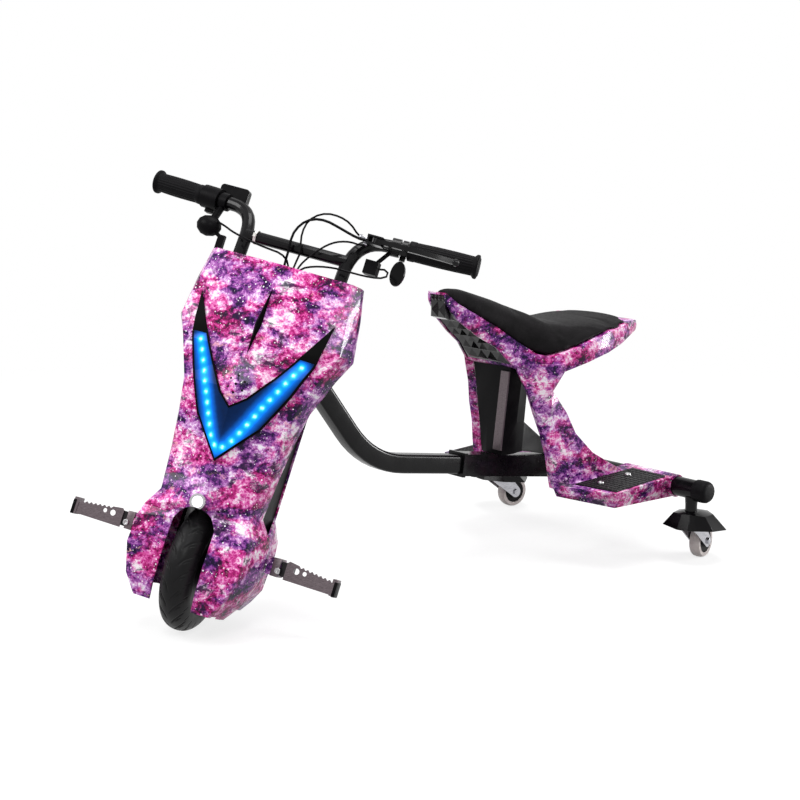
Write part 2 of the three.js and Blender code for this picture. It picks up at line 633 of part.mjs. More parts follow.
function pyramidPanel() {
  const high = seat.recess - gap;
  const noseHalf = seat.halfWidth * bandShares[0][1] - seat.wall - gap;
  const noseTop = seat.low + seat.rise - seat.wall - gap;
  const face = seat.nose + panel.thick / 2;
  const plate = bay(face, frontBay - gap, seat.wall + gap, high, high - panel.thick);
  const nosePlate = box(
    new THREE.Vector3(-noseHalf, face, noseLow), new THREE.Vector3(noseHalf, seat.nose + panel.thick - gap, noseTop));
  const keel = hull([-1, 1].flatMap((side) => [
    new THREE.Vector3(side * noseHalf, face, noseLow),
    new THREE.Vector3(side * noseHalf, face, noseMiddle - gap),
    new THREE.Vector3(side * noseHalf, seat.nose + panel.thick * 3, noseMiddle - panel.pitch),
    new THREE.Vector3(side * noseHalf, seat.nose + panel.thick * 3, noseLow - panel.thick)])).subtract(seatBlock(gap));
  const parts = [plate, nosePlate, keel];
  const sinkIn = new THREE.Vector3(0, panel.thick / 4, 0);
  const smallCount = 4;
  const smallWide = (noseHalf * 2) / smallCount;
  for (let i = 0; i < smallCount; i += 1) {
    const left = i * smallWide - noseHalf;
    const corners = [[left, noseMiddle], [left + smallWide, noseMiddle], [left + smallWide, noseTop], [left, noseTop]]
      .map(([x, z]) => new THREE.Vector3(x, face, z));
    parts.push(spike(corners, new THREE.Vector3(
      left + smallWide / 2, face - panel.height / 2, (noseMiddle + noseTop) / 2), sinkIn));
  }
  const bigCount = 2;
  const bigWide = (noseHalf * 2) / bigCount;
  for (let i = 0; i < bigCount; i += 1) {
    const left = i * bigWide - noseHalf;
    const corners = [[left, noseLow], [left + bigWide, noseLow],
      [left + bigWide, noseMiddle], [left, noseMiddle]].map(([x, z]) => new THREE.Vector3(x, face, z));
    parts.push(spike(corners, new THREE.Vector3(
      left + bigWide / 2, face - panel.height, (noseLow + noseMiddle) / 2), sinkIn));
  }
  return joined([...parts, ...slopeSpikes()]);
}

// Rows of points down the sloping underside, wider rows getting more of them
function slopeSpikes() {
  const from = seat.nose + panel.thick * 2.4;
  const to = frontBay - panel.thick / 2;
  const lift = seat.recess - panel.thick;
  const low = (y) => seat.low + seat.rise * readTable(bandShares, (y - seat.nose) / seat.length, 3) + lift;
  const rowCount = Math.round(Math.hypot(to - from, low(from) - low(to)) / panel.pitch);
  const spikes = [];
  for (let row = 0; row < rowCount; row += 1) {
    const near = from + ((to - from) * row) / rowCount;
    const far = from + ((to - from) * (row + 1)) / rowCount;
    const half = seat.halfWidth * 0.97 * readTable(bandShares, (near - seat.nose) / seat.length, 1) - seat.wall * 1.4;
    const count = Math.max(2, Math.round((half * 2) / panel.pitch));
    const wide = (half * 2) / count;
    const slope = new THREE.Vector3(0, far - near, low(far) - low(near)).normalize();
    const out = new THREE.Vector3(0, slope.z, -slope.y);
    for (let i = 0; i < count; i += 1) {
      const left = i * wide - half;
      const corners = [[left, near], [left + wide, near], [left + wide, far], [left, far]]
        .map(([x, y]) => new THREE.Vector3(x, y, low(y)));
      const apex = new THREE.Vector3(left + wide / 2, (near + far) / 2, (low(near) + low(far)) / 2)
        .addScaledVector(out, panel.height);
      spikes.push(spike(corners, apex, out.clone().multiplyScalar(-panel.thick / 4)));
    }
  }
  return spikes;
}

function seatBase() {
  const high = seat.recess - gap;
  const plate = bay(rearBay + gap, rearBayEnd - gap, seat.wall + gap, high, high - panel.thick);
  const ribCount = 4;
  const ribs = [];
  for (let i = 1; i <= ribCount; i += 1) {
    const y = rearBay + ((rearBayEnd - rearBay) * i) / (ribCount + 1);
    const share = (y - seat.nose) / seat.length;
    const half = seat.halfWidth * 0.8 * readTable(bandShares, share, 1);
    const low = seat.low + seat.rise * readTable(bandShares, share, 3) + high - panel.thick;
    ribs.push(box(
      new THREE.Vector3(-half, y, low - panel.inset * 2), new THREE.Vector3(half, y + panel.thick, low + panel.thick / 2)));
  }
  return joined([plate, ...ribs]);
}

function seatCushion() {
  const halfPoints = 11;
  const rings = cushionShares.map(([share, widthShare, crownShare, power]) => {
    const y = seat.nose + seat.length * share;
    const half = seat.halfWidth * widthShare - seat.cushionInset;
    const crown = seat.low + seat.rise * crownShare;
    const edge = seat.low + seat.rise * readTable(bandShares, share, 2) + gap;
    const ring = [];
    for (let i = 0; i <= halfPoints * 2; i += 1) {
      const turn = Math.PI * (i / (halfPoints * 2));
      const x = half * Math.cos(turn);
      const rise = (1 - Math.abs(Math.cos(turn)) ** power) ** (1 / power);
      ring.push(new THREE.Vector3(x, y, edge + (crown - edge) * rise));
    }
    return ring;
  });
  return loft(rings).subtract(seatBlock(gap));
}

function columnCover() {
  const height = column.high - column.low;
  const rowShares = [[0, 0, 1], [0.34, 0.3, 0], [0.66, 0.62, 1], [1, 1, 0]];
  const rings = rowShares.map(([heightShare, widthShare, ridgeShare]) => {
    const half = column.footHalf + (column.topHalf - column.footHalf) * widthShare;
    const z = column.low + height * heightShare;
    const back = column.front + column.depth;
    return [
      new THREE.Vector3(-half, column.front + column.ridge, z),
      new THREE.Vector3(-half * 0.4, column.front + column.ridge * (1 - ridgeShare), z),
      new THREE.Vector3(half - strap.wide - gap, column.front, z),
      new THREE.Vector3(half, column.front, z),
      new THREE.Vector3(half * 1.06, column.front + column.depth / 2, z),
      new THREE.Vector3(half * 0.8, back, z),
      new THREE.Vector3(-half * 0.8, back, z),
      new THREE.Vector3(-half * 1.06, column.front + column.depth / 2, z),
    ];
  });
  return loft(rings).subtract(moved(beamBlock(beam.sleeve / 2 + gap, -beam.mouth, 0), beamMatrix))
    .subtract(seatBlock(gap))
    .subtract(pyramidPanel().translate([0, gap, -gap]));
}

function columnStrap() {
  const rowAt = (z) => {
    const share = (z - column.low) / (column.high - column.low);
    const half = column.footHalf + (column.topHalf - column.footHalf) * share;
    const back = column.front - gap;
    return [
      new THREE.Vector3(half - strap.wide, back - strap.thick, z), new THREE.Vector3(half, back - strap.thick, z),
      new THREE.Vector3(half, back, z), new THREE.Vector3(half - strap.wide, back, z),
    ];
  };
  return loft([rowAt(strap.low), rowAt(strap.high)]);
}

function rearGusset() {
  const front = column.front + column.depth + gap;
  const end = front + gusset.reach;
  const beamTop = (y) => cross.z + (cross.y - y) * Math.tan(beam.slope) + beam.sleeve / 2;
  const points = [-1, 1].flatMap((side) => [
    new THREE.Vector3(side * gusset.endHalf, front, gusset.high),
    new THREE.Vector3(side * gusset.halfWide, front, column.low),
    new THREE.Vector3(side * gusset.endHalf, end, beamTop(end) + gusset.endHigh),
    new THREE.Vector3(side * gusset.endHalf, end, beamTop(end)),
  ]);
  return hull(points).subtract(moved(beamBlock(beam.sleeve / 2 + gap, -beam.mouth, 0), beamMatrix));
}

// Legs: a twisted blade from the seat down to a foot that holds the cross tube

function legBlade() {
  const rings = legShares.map(([heightShare, frontX, frontY, ridgeShare, rearX, rearY]) => {
    const z = leg.low + leg.height * heightShare;
    const front = new THREE.Vector2(frontX * leg.across, frontY * leg.along);
    const rear = new THREE.Vector2(rearX * leg.across, rearY * leg.along);
    const out = new THREE.Vector2(rear.y - front.y, front.x - rear.x).normalize();
    const ridge = front.clone().lerp(rear, ridgeShare).addScaledVector(out, leg.bulge);
    const backFront = front.clone().addScaledVector(out, -leg.thick);
    const backRear = rear.clone().addScaledVector(out, -leg.thick);
    return [front, ridge, rear, backRear, backFront].map((point) => new THREE.Vector3(point.x, point.y, z));
  });
  return loft(rings);
}

function padCorners(inset, z) {
  const slope = (foot.rearTop - foot.top) / (pad.rearY - foot.front);
  const corners = [
    [pad.frontInner - inset, pad.frontInnerY - inset], [pad.frontOuter + inset, pad.frontOuterY - inset],
    [pad.rearOuter + inset, pad.rearY + inset], [pad.rearInner - inset, pad.rearY + inset]];
  return corners.map(([x, y]) => new THREE.Vector3(x, y, foot.top + (y - foot.front) * slope + z));
}

function legCover() {
  const rearFace = cross.y + cross.radius;
  const plinth = hull([
    new THREE.Vector3(foot.inner, foot.front, foot.top), new THREE.Vector3(foot.outer, foot.frontOuter, foot.top + pad.sink),
    new THREE.Vector3(foot.rearOuter, cross.y, foot.rearTop), new THREE.Vector3(foot.rearInner, cross.y, foot.rearTop),
    new THREE.Vector3(foot.inner + foot.heelRise, foot.front + foot.coat, foot.low + foot.heelRise),
    new THREE.Vector3(foot.outer - foot.bottomInset, foot.frontOuter + foot.bottomInset, foot.low),
    new THREE.Vector3(foot.rearOuter - foot.bottomInset, rearFace - foot.bottomInset, foot.rearLow),
    new THREE.Vector3(foot.rearInner, rearFace - foot.bottomInset, foot.rearLow),
  ]);
  const wrap = rod(
    new THREE.Vector3(foot.rearInner, cross.y, cross.z), new THREE.Vector3(foot.rearOuter, cross.y, cross.z),
    cross.radius + foot.coat, 24);
  const tubeCut = rod(
    new THREE.Vector3(foot.rearInner - overrun, cross.y, cross.z),
    new THREE.Vector3(foot.rearOuter + overrun, cross.y, cross.z), cross.radius + gap, 20);
  const padCut = hull([...padCorners(gap, -pad.sink), ...padCorners(gap, overrun)]);
  const plinthBody = plinth.add(wrap).subtract(padCut);
  return legBlade().add(plinthBody).subtract(tubeCut).subtract(seatBlock(gap))
    .subtract(hull([...padCorners(gap, -pad.sink), ...padCorners(gap, pad.sink + pad.proud)]));
}

function footPad() {
  return hull([...padCorners(0, gap - pad.sink), ...padCorners(0, pad.proud)]);
}

// Beam and head tube, made in the upright frame

function beamTube() {
  const axisPoint = new THREE.Vector3(0, 0, plateLow - headTube.meetDrop).applyMatrix4(leanMatrix);
  const down = new THREE.Vector3(0, Math.cos(beam.headSlope), -Math.sin(beam.headSlope));
  const back = new THREE.Vector3(0, Math.cos(beam.slope), -Math.sin(beam.slope));
  const mouth = new THREE.Vector3(0, -beam.mouth, 0).applyMatrix4(beamMatrix);
  const end = mouth.clone().addScaledVector(back, beam.insertion);
  // The corner is where the line down from the head meets the line of the beam
  const across = axisPoint.clone().sub(mouth);
  const turnSine = down.y * back.z - down.z * back.y;
  const reach = (across.z * back.y - across.y * back.z) / turnSine;
  const corner = axisPoint.clone().addScaledVector(down, reach);
  const bendStart = corner.clone().addScaledVector(down, -beam.bendReach);
  const bendEnd = corner.clone().addScaledVector(back, beam.bendReach);
  const bend = new THREE.QuadraticBezierCurve3(bendStart, corner, bendEnd).getPoints(8);
  const tube = swept(roundedSquare(beam.tube, beam.corner), [axisPoint, ...bend, end]);
  const sleeve = moved(rod(
    new THREE.Vector3(0, 0, plateLow - headTube.lowDrop), new THREE.Vector3(0, 0, plateLow - headTube.highDrop),
    headTube.outerRadius, 24), leanMatrix);
  const bore = moved(rod(
    new THREE.Vector3(0, 0, plateLow - headTube.lowDrop - overrun), new THREE.Vector3(0, 0, plateLow + overrun),
    fork.steererRadius + runningGap, 24), leanMatrix);
  return tube.add(sleeve).subtract(bore);
}

// Steered front

function outlineHalf(along) {
  return fairing.halfWidth * readTable(fairingShares, (along - fairing.low) / fairing.height, 1);
}

// Heights at which the fairing's outline turns, between two others
function outlineRows(from, to) {
  const rows = fairingShares.map(([share]) => fairingAt(share));
  return [from, ...rows.filter((along) => along > from && along < to), to];
}

function steererFork() {
  const crownHigh = crownLow + fork.crownThick;
  const legOut = fork.legInside + fork.legThick;
  const reach = innerHalf - fairing.wall - gap;
  const crown = box(
    at(-legOut, wheel.forward + fork.legWide / 2, crownLow), at(legOut, -fork.legWide / 2, crownHigh));
  const arms = box(at(-reach, fork.legWide / 4, crownLow), at(reach, -fork.legWide / 4, crownHigh));
  const legs = [-1, 1].map((side) => {
    const shape = hull([fork.legInside, legOut].flatMap((x) => [
      at(side * x, wheel.forward + fork.legWide / 2, crownHigh), at(side * x, wheel.forward - fork.legWide / 2, crownHigh),
      at(side * x, wheel.forward + fork.legWide / 2, wheel.along), at(side * x, wheel.forward - fork.legWide / 2, wheel.along),
      at(side * x, wheel.forward + fork.legWide / 4, wheel.along - fork.legWide / 2),
      at(side * x, wheel.forward - fork.legWide / 4, wheel.along - fork.legWide / 2)]));
    const hole = rod(
      at(side * fork.legInside - side * overrun / 4, wheel.forward, wheel.along),
      at(side * legOut + side * overrun / 4, wheel.forward, wheel.along), wheel.axleRadius + gap);
    return shape.subtract(hole);
  });
  const steerer = rod(at(0, 0, crownLow), at(0, 0, plateLow + fork.plateThick), fork.steererRadius, 24);
  const topPlate = box(
    at(-fork.plateHalfWidth, fork.plateDepth + barFoot.forward - fork.plateDepth / 2, plateLow),
    at(fork.plateHalfWidth, -fork.steererRadius, plateLow + fork.plateThick));
  const nosePlate = box(
    at(-fork.legWide, fairing.depth * 0.5, plateLow), at(fork.legWide, 0, plateLow + fork.plateThick));
  const trimmed = nosePlate.intersect(fairingBlock(-fairing.wall - gap));
  return joined([crown, arms, ...legs, steerer, topPlate, trimmed]);
}

function frontAxle() {
  const nutStart = fork.legInside + fork.legThick + gap;
  const nutEnd = nutStart + fork.nutThick;
  const shaft = rod(at(-nutEnd, wheel.forward, wheel.along), at(nutEnd, wheel.forward, wheel.along), wheel.axleRadius);
  const nuts = [-1, 1].map((side) => rod(
    at(side * nutStart, wheel.forward, wheel.along), at(side * nutEnd, wheel.forward, wheel.along), fork.nutRadius, 6));
  return joined([shaft, ...nuts]);
}

function frontTyre() {
  const half = wheel.width / 2;
  const bead = half * 0.62;
  const inside = wheel.rimRadius + gap;
  const arcSteps = 8;
  const profile = [[inside, -bead]];
  for (let i = 0; i <= arcSteps; i += 1) {
    const place = Math.sin(Math.PI * (i / arcSteps) - Math.PI / 2);
    const rise = (1 - Math.abs(place) ** treadRoundness) ** (1 / treadRoundness);
    profile.push([wheel.radius - wheel.treadDepth * (1 - rise), half * place]);
  }
  profile.push([inside, bead], [inside, -bead]);
  const centre = at(0, wheel.forward, wheel.along);
  return turned(profile, centre, centre.clone().add(new THREE.Vector3(1, 0, 0)), 36);
}

function frontHub() {
  const half = wheel.hubHalfWidth;
  const rim = wheel.width * 0.34;
  const boss = fork.legWide * 0.6;
  const bore = wheel.axleRadius + gap;
  const dish = half * 0.72;
  const profile = [
    [bore, -half], [boss, -half], [boss, -dish], [wheel.rimRadius * 0.9, -rim * 0.8], [wheel.rimRadius, -rim],
    [wheel.rimRadius, rim], [wheel.rimRadius * 0.9, rim * 0.8], [boss, dish], [boss, half], [bore, half], [bore, -half],
  ];
  const centre = at(0, wheel.forward, wheel.along);
  return turned(profile, centre, centre.clone().add(new THREE.Vector3(1, 0, 0)), 24);
}

// The fairing's outline block, grown or shrunk by an even amount
function fairingBlock(grow, from = 0, to = 1, back = fairing.edge) {
  const middle = fairingShares.map(([share]) => share).filter((share) => share > from && share < to);
  const rings = [from, ...middle, to].map((share) => {
    const along = fairingAt(share);
    const read = (columnIndex) => readTable(fairingShares, share, columnIndex);
    const out = fairing.halfWidth * read(1) + grow;
    const shoulder = fairing.halfWidth * read(2) + grow;
    const ridge = fairing.depth * read(3) + grow;
    const flank = fairing.depth * read(4) + grow;
    const land = fairing.depth * read(5);
    return [
      at(-out, back, along), at(-out, land, along), at(-shoulder, flank, along), at(0, ridge, along),
      at(shoulder, flank, along), at(out, land, along), at(out, back, along),
    ];
  });
  return loft(rings);
}

function slotCut(top, half) {
  const shape = new THREE.Shape();
  shape.moveTo(-half, fairing.low - overrun);
  shape.lineTo(half, fairing.low - overrun);
  shape.lineTo(half, top - half);
  shape.absarc(0, top - half, half, 0, Math.PI);
  const depth = fairing.depth * 2 + overrun * 2;
  return solid(extruded(shape, depth).rotateX(Math.PI / 2).translate(0, depth / 2, 0));
}

// The rear shell's outline block; its front edge follows the table unless a place is given
function tailBlock(grow, from, to, front) {
  const rows = tailShares.map(([share]) => fairingAt(share));
  const places = [from, ...rows.filter((along) => along > from && along < to), to];
  const rings = places.map((along, i) => {
    const read = (columnIndex) => readTable(tailShares, (along - fairing.low) / fairing.height, columnIndex);
    const out = fairing.halfWidth * read(1) + grow;
    const edge = front ?? (fairing.edge - gap + tail.edge) * read(2) - tail.edge;
    const deep = (i === places.length - 1 ? tail.topDepth : tail.depth) + grow;
    const flank = out * tailFlankShare;
    return [
      at(-out, edge, along), at(-out, -tail.corner, along), at(-flank, -deep, along),
      at(flank, -deep, along), at(out, -tail.corner, along), at(out, edge, along),
    ];
  });
  return loft(rings);
}

function outlineBlock(grow, from, to, frontForward, backForward) {
  return loft(outlineRows(from, to).map((along) => {
    const out = outlineHalf(along) + grow;
    return [at(-out, frontForward, along), at(out, frontForward, along), at(out, backForward, along), at(-out, backForward, along)];
  }));
}

function fairingFront() {
  const wallShare = fairing.wall / fairing.height;
  const hollow = fairingBlock(-fairing.wall, 0, 1 - wallShare, fairing.edge - overrun).add(
    outlineBlock(-fairing.wall, fairing.low - overrun, fairing.low + fairing.wall, fairing.depth * 0.6, fairing.edge - overrun));
  const uprights = [-1, 1].map((side) => rod(
    barPoint(barFoot, side), barPoint(barRise, side), bar.radius + runningGap * 4));
  const cordHole = box(
    at(-fork.legWide, barFoot.forward + fork.plateDepth / 3, fairingTop - overrun / 2),
    at(fork.legWide, -overrun, fairingTop + overrun));
  const holes = [[0, 0]];
  const ringCount = 6;
  for (let i = 0; i < ringCount; i += 1) {
    const angle = (2 * Math.PI * i) / ringCount;
    holes.push([fairing.holePitch * Math.cos(angle), fairing.holePitch * Math.sin(angle)]);
  }
  const holeCuts = holes.map(([x, z]) => rod(
    at(x, fairing.depth / 2, speakerAlong + z), at(x, fairing.depth + overrun, speakerAlong + z),
    fairing.holeRadius, 6));
  const lampCut = rod(at(0, 0, lampAlong), at(0, fairing.depth + overrun, lampAlong), lamp.lensRadius + gap, 20);
  return fairingBlock(0).subtract(hollow).subtract(slotCut(slotTop, slotHalf))
    .subtract(joined([...uprights, cordHole, ...holeCuts, lampCut]));
}

// Holes that the arms of the pegs pass through
function armHoles() {
  const front = peg.forward + peg.armDeep / 2 + gap;
  const back = peg.forward - peg.armDeep / 2 - gap;
  const low = pegAlong - peg.armHigh / 2 - gap;
  const high = pegAlong + peg.armHigh / 2 + gap;
  return [-1, 1].map((side) => box(
    at(side > 0 ? fork.legInside : -fairing.halfWidth, front, low),
    at(side > 0 ? fairing.halfWidth : -fork.legInside, back, high)));
}

function fairingInner() {
  const front = fairing.edge - gap;
  const outside = box(at(-innerHalf, front, innerLow), at(innerHalf, -inner.back, innerHigh));
  const inside = box(
    at(fairing.wall - innerHalf, front + overrun, innerLow - overrun),
    at(innerHalf - fairing.wall, -inner.back - overrun, innerHigh - fairing.wall));
  const steererHole = rod(
    at(0, 0, innerHigh - overrun), at(0, 0, innerHigh + overrun), fork.steererRadius + runningGap, 24);
  return outside.subtract(inside).subtract(joined([steererHole, ...armHoles()]));
}

function fairingTail() {
  const roof = innerHigh + gap;
  const low = fairingAt(tailShares[0][0]);
  const body = tailBlock(0, low, roof + fairing.wall);
  const hollow = tailBlock(-fairing.wall, low - overrun, roof, overrun);
  return body.subtract(hollow).subtract(slotCut(slotTop, slotHalf)).subtract(joined(armHoles()));
}

function lightOutline(grow) {
  const place = ([x, z], side, out) => new THREE.Vector2(side * (x * light.span + grow * out[0]), lightLow + z * lightHeight + grow * out[1]);
  const outerOuts = [[0, -1.5], [0.7, -0.7], [0.8, -0.6], [0.9, -0.4], [1, -0.2], [0.3, 1.6]];
  const innerOuts = [[-0.9, 0.5], [-0.8, 0.6], [-0.8, 0.7], [0, 1.2]];
  const right = [
    ...lightOuterShares.map((share, i) => place(share, 1, outerOuts[i])),
    ...lightInnerShares.map((share, i) => place(share, 1, innerOuts[i])),
  ];
  const left = [
    ...lightInnerShares.map((share, i) => place(share, -1, innerOuts[i])).reverse().slice(1),
    ...lightOuterShares.map((share, i) => place(share, -1, outerOuts[i])).reverse().slice(0, -1),
  ];
  return new THREE.Shape([...right, ...left]);
}

function lightPrism(grow, top) {
  const depth = fairing.depth;
  const prism = solid(extruded(lightOutline(grow), depth).rotateX(Math.PI / 2).translate(0, -light.back, 0));
  const limit = box(
    at(-light.span - overrun, fairing.depth + overrun * 2, lightLow - overrun), at(light.span + overrun, 0, top));
  return prism.intersect(limit);
}

function lightLayer(proud) {
  return fairingBlock(proud).subtract(fairingBlock(gap));
}

function lightLens() {
  return lightPrism(0, lightTip).intersect(lightLayer(light.proud));
}

function lightTrim() {
  return lightPrism(light.rim, lightLow + lightHeight + overrun).intersect(lightLayer(light.proud * 1.3))
    .subtract(lightPrism(gap, lightTip + gap));
}

function centreBlade() {
  const shoulder = bladeLow + (bladeHigh - bladeLow) * bladeShoulderShare;
  const depthAt = (along) => fairing.depth * readTable(fairingShares, (along - fairing.low) / fairing.height, 3);
  const body = hull([
    at(0, depthAt(bladeLow) - fairing.wall, bladeLow), at(0, depthAt(bladeLow) + gap * 3, bladeLow),
    at(0, depthAt(bladeHigh) - fairing.wall, bladeHigh), at(0, depthAt(bladeHigh) + blade.proud * 0.6, bladeHigh - blade.proud),
    at(-blade.halfWidth, depthAt(shoulder) - fairing.wall, shoulder), at(blade.halfWidth, depthAt(shoulder) - fairing.wall, shoulder),
    at(-blade.halfWidth, depthAt(shoulder) + gap * 3, shoulder), at(blade.halfWidth, depthAt(shoulder) + gap * 3, shoulder),
    at(0, depthAt(shoulder) + blade.proud, shoulder),
  ]);
  return body.subtract(fairingBlock(gap));
}

// The furthest that the fairing's ridge comes forward behind the lamp
function lampSeat() {
  const places = [lampAlong - lamp.ringRadius, lampAlong, lampAlong + lamp.ringRadius];
  return fairing.depth * Math.max(...places.map(
    (along) => readTable(fairingShares, (along - fairing.low) / fairing.height, 3)));
}

function lampRing() {
  const face = lampSeat() + lamp.proud;
  const ring = rod(at(0, face - lamp.ringDepth, lampAlong), at(0, face, lampAlong), lamp.ringRadius, 24);
  const bore = rod(at(0, 0, lampAlong), at(0, face + overrun, lampAlong), lamp.lensRadius + gap, 24);
  return ring.subtract(bore).subtract(fairingBlock(gap)).subtract(slotCut(slotTop - runningGap, slotHalf));
}

function lampLens() {
  const face = lampSeat() + lamp.proud - lamp.sunk;
  return rod(at(0, face - lamp.depth, lampAlong), at(0, face, lampAlong), lamp.lensRadius, 24);
}

// Handlebar

function barPoint(place, side) {
  return at(side * place.across, place.forward, plateLow + place.above);
}

// A point on the straight end of the bar, at a distance out from its bend
function gripPoint(distance, side) {
  const start = barPoint(barOut, side);
  const way = barPoint(barEnd, side).sub(start).normalize();
  return start.addScaledVector(way, distance);
}

function barTube(side, radius) {
  const bend = new THREE.CubicBezierCurve3(
    barPoint(barRise, side), barPoint(barBend, side), barPoint(barTurn, side), barPoint(barOut, side));
  return swept(
    circleShape(radius, 14), [barPoint(barFoot, side), ...bend.getPoints(8), gripPoint(bar.gripEnd - gap, side)]);
}

function handlebar() {
  const tubes = [-1, 1].map((side) => barTube(side, bar.radius));
  const between = rod(
    at(-barRise.across, barRise.forward, barCross), at(barRise.across, barRise.forward, barCross),
    bar.crossRadius, 14);
  const plateTop = plateLow + fork.plateThick + gap;
  const below = box(
    at(-fairing.halfWidth, fairing.depth, plateTop - overrun), at(fairing.halfWidth, -fairing.depth, plateTop));
  return joined([...tubes, between]).subtract(below);
}

function grip(side, from) {
  const length = bar.gripEnd - from;
  const bore = bar.radius + runningGap;
  const profile = [[bore, 0]];
  const step = length / (bar.ribCount * 2);
  for (let i = 0; i < bar.ribCount; i += 1) {
    profile.push([bar.gripRadius, i * 2 * step], [bar.gripRadius, (i * 2 + 1) * step]);
    profile.push([bar.gripRadius - bar.ribDepth, (i * 2 + 1.2) * step], [bar.gripRadius - bar.ribDepth, (i * 2 + 1.8) * step]);
  }
  profile.push(
    [bar.flangeRadius, length], [bar.flangeRadius, length + bar.flangeThick], [0, length + bar.flangeThick],
    [0, length + gap], [bore, length + gap], [bore, 0]);
  return turned(profile, gripPoint(from, side), gripPoint(bar.gripEnd, side), 16);
}

function clampRing(side, from, to, radius) {
  const ring = rod(gripPoint(from, side), gripPoint(to, side), radius, 16);
  const bore = rod(gripPoint(from - radius, side), gripPoint(to + radius, side), bar.radius + gap * 2, 16);
  return [ring, bore];
}

function throttleHousing() {
  const [ring, bore] = clampRing(-1, throttle.start, throttle.end, throttle.radius);
  const middle = gripPoint((throttle.start + throttle.end) / 2, -1);
  const lug = box(
    new THREE.Vector3(middle.x - throttle.lugWide / 2, middle.y, middle.z - throttle.lugHigh),
    new THREE.Vector3(middle.x + throttle.lugWide / 2, middle.y + throttle.radius * 0.8, middle.z));
  return ring.add(lug).subtract(bore);
}

function displayCase() {
  const shape = new THREE.Shape();
  const half = { x: display.wide / 2, z: display.high / 2 };
  shape.moveTo(-half.x + display.corner, -half.z);
  shape.lineTo(half.x - display.corner, -half.z);
  shape.absarc(half.x - display.corner, display.corner - half.z, display.corner, -Math.PI / 2, 0);
  shape.absarc(half.x - display.corner, half.z - display.corner, display.corner, 0, Math.PI / 2);
  shape.absarc(display.corner - half.x, half.z - display.corner, display.corner, Math.PI / 2, Math.PI);
  shape.absarc(display.corner - half.x, display.corner - half.z, display.corner, Math.PI, 1.5 * Math.PI);
  const centre = at(display.across, display.forward, plateLow + display.above);
  const body = solid(extruded(shape, display.thick, 3).rotateX(Math.PI / 2)
    .translate(centre.x, centre.y + display.thick / 2, centre.z));
  const [ring] = clampRing(-1, throttle.start - gap, throttle.end + gap, throttle.radius + gap);
  return body.subtract(ring);
}

function switchPod() {
  const [ring, bore] = clampRing(-1, pod.clampStart, pod.clampEnd, pod.clampRadius);
  const centre = at(pod.across, pod.forward, plateLow + pod.above);
  const body = solid(new THREE.SphereGeometry(1, 12, 8)
    .scale(pod.radiusAcross, pod.radiusForward, pod.radiusAlong).translate(centre.x, centre.y, centre.z));
  const top = gripPoint((pod.clampStart + pod.clampEnd) / 2, -1);
  const neck = rod(top, centre, pod.radiusForward * 0.4, 12);
  const tab = box(
    at(pod.tabAcross - pod.tabWide / 2, pod.forward + pod.tabDeep / 2, plateLow + pod.tabAbove),
    at(pod.tabAcross + pod.tabWide / 2, pod.forward - pod.tabDeep / 2, plateLow + pod.tabAbove + pod.tabHigh));
  const link = rod(
    centre, at(pod.tabAcross, pod.forward, plateLow + pod.tabAbove + pod.tabHigh * 0.8), pod.tabDeep * 0.4, 8);
  return joined([ring, body, neck, tab, link]).subtract(bore);
}

function brakePerch() {
  const [ring, bore] = clampRing(1, perch.start, perch.end, perch.radius);
  const pivot = at(perch.pivotAcross, perch.pivotForward, perchAlong);
  const cheeks = box(
    at(perch.pivotAcross - perch.blockWide / 2, perch.pivotForward + perch.blockDeep / 2, perchAlong - perch.blockHigh / 2),
    at(perch.pivotAcross + perch.blockWide / 2, perch.pivotForward - perch.blockDeep / 2, perchAlong + perch.blockHigh / 2));
  const clampMiddle = gripPoint((perch.start + perch.end) / 2, 1);
  const arm = hull([
    at(perch.pivotAcross - perch.blockWide / 3, perch.pivotForward - perch.blockDeep / 3, perchAlong - perch.blockHigh / 3),
    at(perch.pivotAcross - perch.blockWide / 3, perch.pivotForward - perch.blockDeep / 3, perchAlong + perch.blockHigh / 3),
    at(perch.pivotAcross + perch.blockWide / 3, perch.pivotForward - perch.blockDeep / 3, perchAlong - perch.blockHigh / 3),
    at(perch.pivotAcross + perch.blockWide / 3, perch.pivotForward - perch.blockDeep / 3, perchAlong + perch.blockHigh / 3),
    clampMiddle.clone().add(at(-perch.radius / 2, 0, -perch.radius / 2)),
    clampMiddle.clone().add(at(-perch.radius / 2, 0, perch.radius / 2)),
    clampMiddle.clone().add(at(perch.radius / 2, 0, -perch.radius / 2)),
    clampMiddle.clone().add(at(perch.radius / 2, 0, perch.radius / 2)),
  ]);
  const slot = box(
    at(perch.pivotAcross - lever.eyeRadius - runningGap * 2, perch.pivotForward + overrun, perchAlong - lever.slotHigh / 2),
    at(perch.pivotAcross + overrun, perch.pivotForward - lever.eyeRadius - runningGap * 3, perchAlong + lever.slotHigh / 2));
  const pin = rod(
    pivot.clone().add(new THREE.Vector3(0, 0, -perch.blockHigh / 2)),
    pivot.clone().add(new THREE.Vector3(0, 0, perch.blockHigh / 2)), perch.pinRadius, 16);
  const barrelStart = at(perch.pivotAcross - perch.blockWide / 2 + gap, perch.pivotForward, perchAlong);
  const barrel = rod(barrelStart, barrelStart.clone().add(at(-perch.barrelLength, 0, 0)), perch.barrelRadius, 12);
  const cordHole = rod(
    barrelStart.clone().add(at(-perch.barrelLength / 2, 0, 0)), barrelStart.clone().add(at(-overrun, 0, 0)),
    cord.thin + gap * 3, 12);
  return joined([ring, arm, cheeks, barrel]).subtract(slot).add(pin)
    .subtract(joined([bore, cordHole, barTube(1, bar.radius + gap)]));
}

